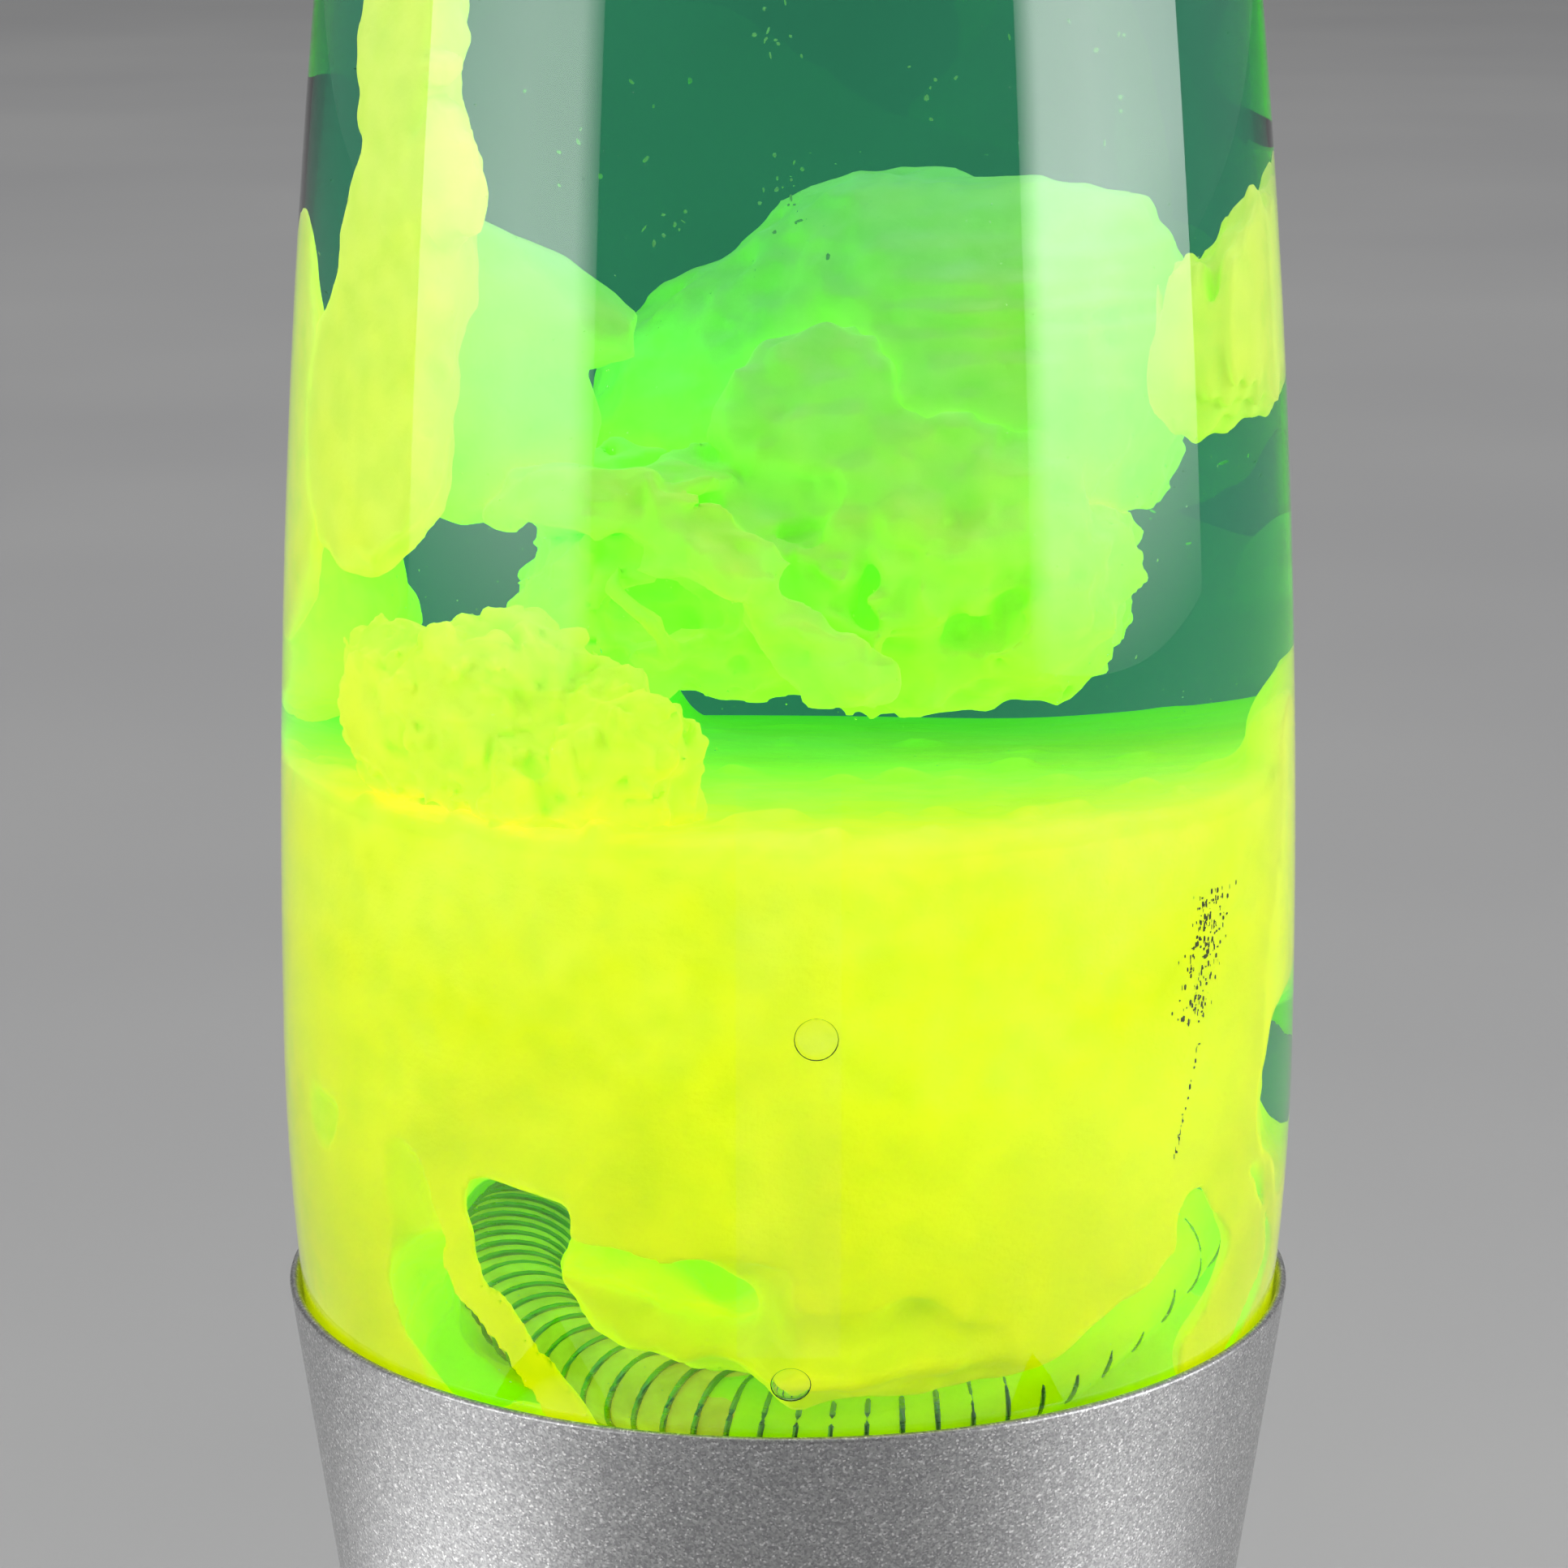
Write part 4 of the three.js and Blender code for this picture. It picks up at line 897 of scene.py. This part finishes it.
def base_cup(paint):
    low, lip = CUP_BOTTOM, SHEET / 2 * 0.98
    outline = filleted([
        (FLANGE, low), (WAIST_RADIUS, low, 0.7), (RIM_RADIUS, RIM, lip), (RIM_RADIUS - SHEET, RIM, lip),
        (WAIST_RADIUS - SHEET, low + SHEET, 1.2), (FLANGE, low + SHEET)], 6)
    cup = lathe("base_cup_shell", outline, paint, 224)
    apply_cut(cup, pegs(CLAMP_HOLES, low - 1, low + 3, paint))
    keep(cup, "base", "silver_paint", "base_cup")


def base_foot(paint):
    edge, thin = FOOT_BOTTOM, 1.1
    outline = filleted([
        (FLANGE, FOOT_TOP), (WAIST_RADIUS, FOOT_TOP, 0.7), (FOOT_CONE, HEM, 1.5),
        (FOOT_RADIUS, HEM - 1.6, 1.5), (FOOT_RADIUS, edge, 0.6), (FOOT_RADIUS - 3, edge, 0.3),
        (FOOT_RADIUS - 3, edge + SHEET, 0.3), (FOOT_RADIUS - thin, edge + SHEET, 0.3),
        (FOOT_RADIUS - thin, HEM - 1.6, 0.8), (FOOT_CONE - thin, HEM, 0.8),
        (WAIST_RADIUS - thin, FOOT_TOP - SHEET, 0.6), (FLANGE, FOOT_TOP - SHEET)], 5)
    foot = lathe("base_foot_shell", outline, paint, 224)
    cutter = lathe("inlet_cutter", [(0, -4), (5.9, -4), (5.9, 4), (0, 4)], paint, 48)
    cutter.matrix_world = at_inlet()
    apply_cut(foot, cutter, pegs(CLAMP_HOLES, FOOT_TOP - 3, FOOT_TOP + 1, paint))
    keep(foot, "base", "silver_paint", "base_foot")


def at_inlet():
    """Where the cord's inlet is: its own +Z points square out of the foot's wall at the back."""
    height = 17
    radius = WAIST_RADIUS + (FOOT_CONE - WAIST_RADIUS) * (FOOT_TOP - height) / (FOOT_TOP - HEM)
    turn = Matrix.Rotation(-(math.pi / 2 - CONE_LEAN), 4, "X")
    return Matrix.Translation(Vector((0, radius - SHEET / 2, height)) * MM) @ turn


def move_to(piece, x, y):
    piece.data.transform(Matrix.Translation(Vector((x, y, 0)) * MM))


def cord_grommet(rubber):
    inside, outside = -SHEET / 2 - 1.3, SHEET / 2 + 0.3
    outline = filleted([
        (4.4, inside - 1.4, 0.5), (7.6, inside - 1.4, 0.5), (7.9, inside, 0.2), (5.6, inside),
        (5.6, outside), (7.9, outside, 0.3), (7.5, outside + 1.3, 0.6), (4.4, outside + 1.3, 0.6)])
    piece = lathe("inlet_grommet", outline, rubber, 64)
    piece.data.transform(at_inlet())
    keep(piece, "base", "rubber", "cord_grommet")


def seat(steel):
    top = BOTTLE_BOTTOM - 0.3
    outer = RIM_RADIUS - CUP_TAPER * (RIM - top) - SHEET - 0.3
    lower = outer - CUP_TAPER * 7
    outline = filleted([
        (FLANGE, top - 3.5, 0.2), (FLANGE + SHEET, top - 3.5, 0.2), (FLANGE + SHEET, top - SHEET, 0.4),
        (outer - SHEET, top - SHEET, 0.6), (lower - SHEET, top - 7, 0.2), (lower, top - 7, 0.2),
        (outer, top, 1.0), (FLANGE, top, 1.0)])
    keep(lathe("seat_ring_sheet", outline, steel, 192), "base", "plated_steel", "seat_ring")


def bottom_cover(plastic, steel, rubber):
    radius, low, thick = FOOT_RADIUS - 3.5, 2.8, 1.5
    cover = lathe("bottom_cover_plate", filleted([
        (0, low), (9, low), (9.6, low + 0.35), (17.8, low + 0.35), (18.4, low), (radius, low, 0.4),
        (radius, low + thick, 0.3), (0, low + thick)]), plastic, 192)
    holes = round_axis(45, 3, 150, 2.1) + round_axis(24, 8, 0, 1.9) + round_axis(14, 5, 0, 1.9)
    apply_cut(cover, pegs(holes, low - 1, low + thick + 1, plastic))
    keep(cover, "base", "black_plastic", "bottom_cover")
    for k, (x, y, _) in enumerate(round_axis(45, 3, 150, 0)):
        z = low - 0.3
        head = filleted([(0, z + 6), (1.0, z + 6), (1.5, z + 5, 0.3), (1.5, z), (3.2, z, 0.15),
                         (3.1, z - 0.9, 0.7), (2.0, z - 1.7, 0.8), (0, z - 1.7)])
        screw = lathe(f"cover_screw_head_{k + 1}", head, steel, 40)
        cross = []
        for w, d in ((0.36, 1.7), (1.7, 0.36)):
            box = np.array(list(itertools.product((-w, w), (-d, d), (z - 3, z - 0.7))))
            cross.append((box, [(0, 1, 3, 2), (4, 6, 7, 5), (0, 4, 5, 1), (2, 3, 7, 6), (0, 2, 6, 4),
                                (1, 5, 7, 3)]))
        blades = [new_object("blade", *part, steel) for part in cross]
        apply_cut(screw, *blades)
        move_to(screw, x, y)
        keep(screw, "base", "plated_steel", f"cover_screw_{k + 1}")
    for k, (x, y, _) in enumerate(round_axis(38, 4, 45, 0)):
        pad = lathe(f"rubber_pad_{k + 1}", filleted([
            (0, 0.5), (2.4, 0.5), (3.0, 0, 0.3), (5.4, 0, 0.5), (6, 0.8, 0.3), (5.6, low - 0.3),
            (0, low - 0.3)]), rubber, 48)
        move_to(pad, x, y)
        keep(pad, "base", "rubber", f"rubber_foot_{k + 1}")


# ---- Lamp holder and bulb ----
PITCH = 2.82  # of an E14 thread


def rolled_thread(bottom, ridges, crest, root):
    """Outline points of a rolled thread, as a soft wave up a sleeve, from a crest to a crest."""
    mid, swing = (crest + root) / 2, (crest - root) / 2
    return [(mid + swing * math.cos(2 * math.pi * i / 8), bottom + i * PITCH / 8)
            for i in range(ridges * 8 + 1)]


def holder(bakelite, brass):
    floor, top = 45.7, 88
    body = filleted([
        (5.3, floor), (14, floor, 0.8), (14, 62.4, 0.5), (13.4, 62.8, 0.3), (13.4, top, 0.7),
        (11.6, top, 0.3), (11.6, 52.2), (10.6, 52.2), (10.6, 49.6), (5.3, 49.6)])
    keep(lathe("holder_shell", body, bakelite, 96), "base", "bakelite", "holder_body")
    inner = [(7.7, 57.8)] + rolled_thread(58.8, 7, 7.7, 7.3) + [(7.7, 78.5)]
    outline = inner + [(r + 0.5, z) for r, z in reversed(inner)]
    keep(lathe("holder_thread", outline, brass, 96), "base", "brass", "holder_screw_shell")


def bulb(frosted, nickel, bakelite):
    base = 61.7
    outer = [(0, 69.3)] + arc((0, 57.8), (19.5, 11.5), 84, 0, 16)[1:] + [
        (19.0, 54.6), (17.6, 50.4), (14.8, 44.4), (12, 39.3), (9.9, 35.2), (8.5, 31.0), (7.7, 27.6),
        (7.4, 25), (7.4, 22.3)]
    inner = [(max(0, r - 0.8), z - (0.8 if z > 57.8 else 0)) for r, z in outer]
    outline = outer + inner[::-1]
    keep(lathe("bulb_envelope", outline, frosted, 128, base), "bulb", "frosted_glass", "bulb_glass")
    outside = [(5.9, 5.5), (6.5, 6.0)] + rolled_thread(6.7, 4, 6.9, 6.5)
    outside += [(6.9, 18.6), (7.3, 20), (8.25, 22), (8.25, 26.3)]
    outline = outside + [(r - 0.45, z) for r, z in reversed(outside)]
    keep(lathe("bulb_screw_cap", outline, nickel, 96, base), "bulb", "nickel", "bulb_cap")
    cone = filleted([(0, 1.8), (3, 1.8, 0.4), (5.7, 5.2, 0.3), (0, 5.2)])
    keep(lathe("bulb_insulating_ring", cone, bakelite, 64, base), "bulb", "bakelite", "bulb_insulator")


# ---- Bottle ----
def bottle(glass, wetted, liquid, steel):
    sides = [(float(bottle_radius(z)), float(z)) for z in np.linspace(0, 205, 60)]
    outside = [(0, -13.2), (12, -13.3), (22, -13.7), (26, -14.1), (29, -14.8), (31, -15)]
    outside += arc((float(bottle_radius(-2)) - 10, -2), (10, 13), -84, -2, 16)
    outside += sides
    outside += filleted([
        (31.6, 208), (30.4, 214, 8), (26, 222.5, 6), (17.5, 230.5, 5), (13.3, 235, 2), (12.6, 238, 1.5),
        (13.3, 240.4, 0.4), (13.3, 242.6, 0.6), (12.7, 245.3, 0.5), (11.6, 246, 0.4), (9.6, 246, 0.5)], 6)
    inside = filleted([(8.8, 244.8, 0.6), (8.8, 236, 2), (11.5, 231, 2), (20.6, 224)], 6)
    inside += [(20.6, 224), (24.6, 218.8), (27.8, 213), (29.6, 208.6)]
    inside += [(r - GLASS, z) for r, z in sides[::-1]]
    inside += arc((inner_radius(0) - CORNER, 0), (CORNER, 10.6), -5, -88, 16)
    inside += [(30, -10.5), (24, -10.2), (12, -9.9), (0, -9.8)]
    piece = lathe("bottle_wall", outside + inside, glass, 256, RIM)
    bubbles = [ball(c, r, 12, outwards=False) for c, r in (
        ((2.4, -46.6, RIM + 36.6), (1.95, 0.35, 1.95)), ((0.2, -46.0, RIM + 4.4), (1.8, 0.35, 1.6)))]
    cavity = new_object("bubbles", *merged(bubbles), glass)
    with bpy.context.temp_override(active_object=piece, selected_editable_objects=[piece, cavity]):
        bpy.ops.object.join()
    piece.data.materials.append(wetted)
    for face in piece.data.polygons:
        x, y, z = face.center / MM
        z -= RIM
        if on_inside(x, y, z) and z < LIQUID_LEVEL - 0.5 and not in_bubble(x, y):
            face.material_index = 1
    hidden_from_shadow(piece)
    keep(piece, "bottle", "clear_glass", "glass_bottle")

    reach = 0.15  # how far the liquid overlaps the glass
    wet = [(0, -9.8 - reach), (24, -10.2 - reach), (30, -10.5 - reach)]
    wet += arc((inner_radius(0) - CORNER, 0), (CORNER + reach, 10.6 + reach), -88, -5, 16)
    wet += [(r - GLASS + reach, z) for r, z in sides]
    wet += [(29.6 + reach, 208.6), (27.8 + reach, 213), (24.6 + reach, 218.8), (20.7, LIQUID_LEVEL),
            (0, LIQUID_LEVEL)]
    fill = lathe("teal_liquid_fill", wet, liquid, 256, RIM)
    hidden_from_shadow(fill)
    keep(fill, "bottle", "teal_liquid", "liquid")

    crown(steel)


def on_inside(x, y, z):
    """Whether a face of the bottle is on its inner surface."""
    if z > 0:
        return math.hypot(x, y) < float(bottle_radius(z)) - GLASS / 2
    return z > -12 and float(glass_distance((x, y, np.float64(z)), 0)) < 0.6


def in_bubble(x, y):
    """Whether a face of the bottle is one of a bubble's, at the front in the middle of the glass."""
    return y < -45 and abs(x) < 5 and 45.9 < math.hypot(x, y) < 47.4


def hidden_from_shadow(piece):
    """Lets light through to what is inside, since light doesn't find its way through bent glass."""
    piece.visible_shadow = False
    piece.visible_diffuse = False


def crown(steel):
    flutes, top, foot = 21, 247.8, 240.6
    outline = [(0, top), (11.0, top), (12.2, 247.6), (13.4, 247.0), (14.4, 246.0), (14.9, 244.6),
               (15.3, 242.6), (15.55, 240.9), (15.45, foot), (15.15, 240.65), (14.75, 242.8),
               (14.3, 244.8), (13.6, 246.0), (12.6, 246.8), (11.2, 247.3), (0, 247.3)]
    vertices, faces = revolved(outline, flutes * 12, RIM)
    moved = []
    for x, y, z in vertices:
        share = min(1, max(0, (246.4 + RIM - z) / (246.4 - foot)))
        scale = 1 + 0.04 * share * math.cos(flutes * math.atan2(y, x))
        moved.append((x * scale, y * scale, z))
    keep(new_object("crown_cork", moved, faces, steel), "bottle", "plated_steel", "crown_cap")


def heat_spring(steel):
    """A long coil bent into a ring. Its turns lie closer on the left than in front."""
    turns, steps = 78, 24
    share = np.linspace(0, 1, turns * steps, endpoint=False)
    ring = 2 * math.pi * share + 0.35 * np.sin(2 * math.pi * share + 0.9)
    turn = 2 * math.pi * turns * share
    out, up = [reach * ring_bend(ring) for reach in RING_BEND]
    r = COIL_RADIUS + out + COIL_TURN_RADIUS * np.cos(turn)
    local = np.stack([r * np.cos(ring), r * np.sin(ring), up + COIL_TURN_RADIUS * np.sin(turn)], axis=1)
    place = np.array(COIL_PLACE)
    path = local @ place[:3, :3].T + place[:3, 3] + (0, 0, RIM)
    wire = new_object("heat_spring_wire", *closed_tube(path, COIL_WIRE), steel)
    keep(wire, "bottle", "plated_steel", "heat_spring")


def top_cap(paint):
    bottom, top, taper = 204 + RIM, CAP_TOP, 0.19
    start = float(bottle_radius(204)) + 0.5 + SHEET
    crown_radius = start - taper * (top - bottom)
    outline = filleted([
        (0, top), (crown_radius, top, 1.6), (start, bottom, 0.3), (start - SHEET, bottom, 0.3),
        (crown_radius - SHEET, top - SHEET, 1.2), (0, top - SHEET)], 8)
    keep(lathe("top_cap_shell", outline, paint, 224), "cap", "silver_paint", "top_cap")


# ---- Studio ----
def levels(*stops):
    """Stops of a gray ramp."""
    return [(position, (level,) * 3) for position, level in stops]


def add_panel(panel):
    """A panel that lights the set and shows in reflections, but isn't seen itself."""
    panel.visible_camera = False
    panel.visible_transmission = False
    panel.visible_shadow = False


def light_card(name, azimuth, width, radiance):
    """A panel that stands beside the object, dimmer towards its foot and its upright edges."""
    distance, low, high = 0.8, 0.12, 0.52
    s = Shader(name)
    upright = s.ramp(s.spread(s.axis(s.place, "Z"), low, high), *levels((0, 0.1), (0.42, 1), (1, 0.9)))
    back = math.copysign(width / 2, azimuth)
    across = s.ramp(s.spread(s.axis(s.place, "X"), back, -back),
                    *levels((0, 0.5), (0.6, 1), (0.88, 1), (1, 0.2)))
    strength = s.node("Math", {0: across, 1: radiance}, operation="MULTIPLY").outputs[0]
    glow = s.surface({"Color": upright, "Strength": strength}, "Emission")
    half, bottom, top = width / 2 / MM, low / MM, high / MM
    corners = [(-half, 0, bottom), (half, 0, bottom), (half, 0, top), (-half, 0, top)]
    panel = new_object(name, corners, [(0, 1, 2, 3)], glow)
    a = math.radians(azimuth)
    panel.location = (distance * math.sin(a), -distance * math.cos(a), 0)
    panel.rotation_euler = (0, 0, a)
    add_panel(panel)


def overhead_light(name, y, height, size, radiance):
    """A square lamp that faces down."""
    data = bpy.data.lights.new(name, "AREA")
    data.size = size
    data.energy = radiance * math.pi * size * size
    light = bpy.data.objects.new(name, data)
    light.location = (0, y, height)
    light.visible_camera = False
    bpy.context.collection.objects.link(light)


def floor_card(name, x, y, width, depth, radiance):
    """A soft panel that lies on the floor beside the lamp, for the tapered base to mirror."""
    s = Shader(name)
    from_middle = s.length_of(s.place, (2 / width, 2 / depth, 0))
    shade = s.ramp(from_middle, *levels((0.1, 1), (1, 0)))
    glow = s.surface({"Color": shade, "Strength": radiance}, "Emission")
    w, d = width / 2 / MM, depth / 2 / MM
    panel = new_object(name, [(-w, -d, 0), (w, -d, 0), (w, d, 0), (-w, d, 0)], [(0, 1, 2, 3)], glow)
    panel.location = (x, y, 0.004)
    panel.visible_diffuse = False
    add_panel(panel)


def studio():
    s = Shader("pale_floor")
    floor_material = s.surface({
        "Base Color": s.ramp(s.noise(3, 2), (0.3, (0.43, 0.43, 0.435)), (0.7, (0.47, 0.47, 0.47))),
        "Roughness": 0.75, "Normal": s.bump(s.noise(400, 3), 0.0002, 0.2)})
    floor = lathe("floor", [(0, -4), (9000, -4), (9000, 0), (0, 0)], floor_material, 64)
    light_card("softbox_left", -67, 0.72, 6.8)
    light_card("softbox_right", 78, 0.74, 9.0)
    floor_card("floor_card_left", -0.225, -0.02, 0.17, 0.46, 5.6)
    floor_card("floor_card_right", 0.225, -0.03, 0.15, 0.36, 4.4)
    overhead_light("overhead", -0.2, 1.9, 1.3, 0.6)
    overhead_light("background_light", 1.6, 3.0, 4.5, 1.0)
    world = bpy.data.worlds.new("studio")
    world.use_nodes = True
    background = world.node_tree.nodes["Background"]
    background.inputs["Color"].default_value = (0.18, 0.18, 0.182, 1)
    bpy.context.scene.world = world


def carried_over(looks):
    """CAD nodes that stay as they are, with a finished material."""
    for slot, nodes in {
        "plated_steel": ["lamp_plate", "nipple_washer", "nipple_nut", *[
            f"{part}_{k}" for part in ("clamp_screw", "clamp_nut", "cover_bracket") for k in (1, 2, 3)]],
        "porcelain": ["holder_core"],
        "brass": ["centre_contact", "threaded_nipple", "terminal_screw_1", "terminal_screw_2"],
        "nickel": ["bulb_contact", "lead_wire_1", "lead_wire_2"],
        "clear_glass": ["bulb_stem"],
        "tungsten": ["filament"],
        "liner": ["crown_liner"],
    }.items():
        for node in nodes:
            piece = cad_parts[node]
            piece.data.materials.clear()
            piece.data.materials.append(looks[slot])


def build():
    looks = {
        "plated_steel": metal("plated_steel", (0.62, 0.63, 0.65), 0.26, (0.45, 0.45, 0.46)),
        "brass": metal("brass", (0.72, 0.50, 0.20), 0.3, (0.45, 0.30, 0.13)),
        "nickel": metal("nickel", (0.66, 0.63, 0.58), 0.26, (0.5, 0.46, 0.4)),
        "tungsten": metal("tungsten", (0.2, 0.19, 0.18), 0.45, (0.1, 0.1, 0.1)),
        "porcelain": moulded("porcelain", (0.78, 0.76, 0.70), (0.70, 0.67, 0.60), 0.3),
        "liner": moulded("liner", (0.70, 0.68, 0.62), (0.62, 0.60, 0.54), 0.6),
        "clear_glass": stem_glass(),
    }
    paint, steel = silver_paint(), looks["plated_steel"]
    spring_wire = metal("spring_wire", (0.48, 0.52, 0.53), 0.3, (0.25, 0.27, 0.28))
    bakelite = moulded("bakelite", (0.012, 0.011, 0.012), (0.03, 0.028, 0.028), 0.35)
    rubber = moulded("rubber", (0.016, 0.016, 0.017), (0.05, 0.05, 0.05), 0.75, 900, 0.00015)
    plastic = moulded("black_plastic", (0.018, 0.018, 0.019), (0.035, 0.035, 0.036), 0.5, 1100, 0.00012)
    # The wax flakes carry a painted glow: a faint green emission.
    flake = moulded("pale_flakes", (0.12, 0.42, 0.14), (0.25, 0.60, 0.20), 0.6,
                    **{"Emission Color": (0.25, 0.62, 0.22, 1), "Emission Strength": 0.35})
    soot = moulded("soot", (0.14, 0.18, 0.03), (0.26, 0.32, 0.05), 0.8)

    base_cup(paint)
    base_foot(paint)
    cord_grommet(rubber)
    seat(steel)
    bottom_cover(plastic, steel, rubber)
    holder(bakelite, looks["brass"])
    bulb(frosted_glass(), looks["nickel"], bakelite)
    bottle(bottle_glass(), wetted_glass(), teal_liquid(), steel)
    heat_spring(spring_wire)
    wax_pieces(neon_wax(), murky_wax(), flake, soot)
    top_cap(paint)
    carried_over(looks)


build()
studio()
make_camera()
scene = bpy.context.scene
scene.view_settings.view_transform = "Standard"
scene.cycles.use_denoising = True
scene.cycles.max_bounces = 14
scene.cycles.transmission_bounces = 12
scene.cycles.transparent_max_bounces = 12
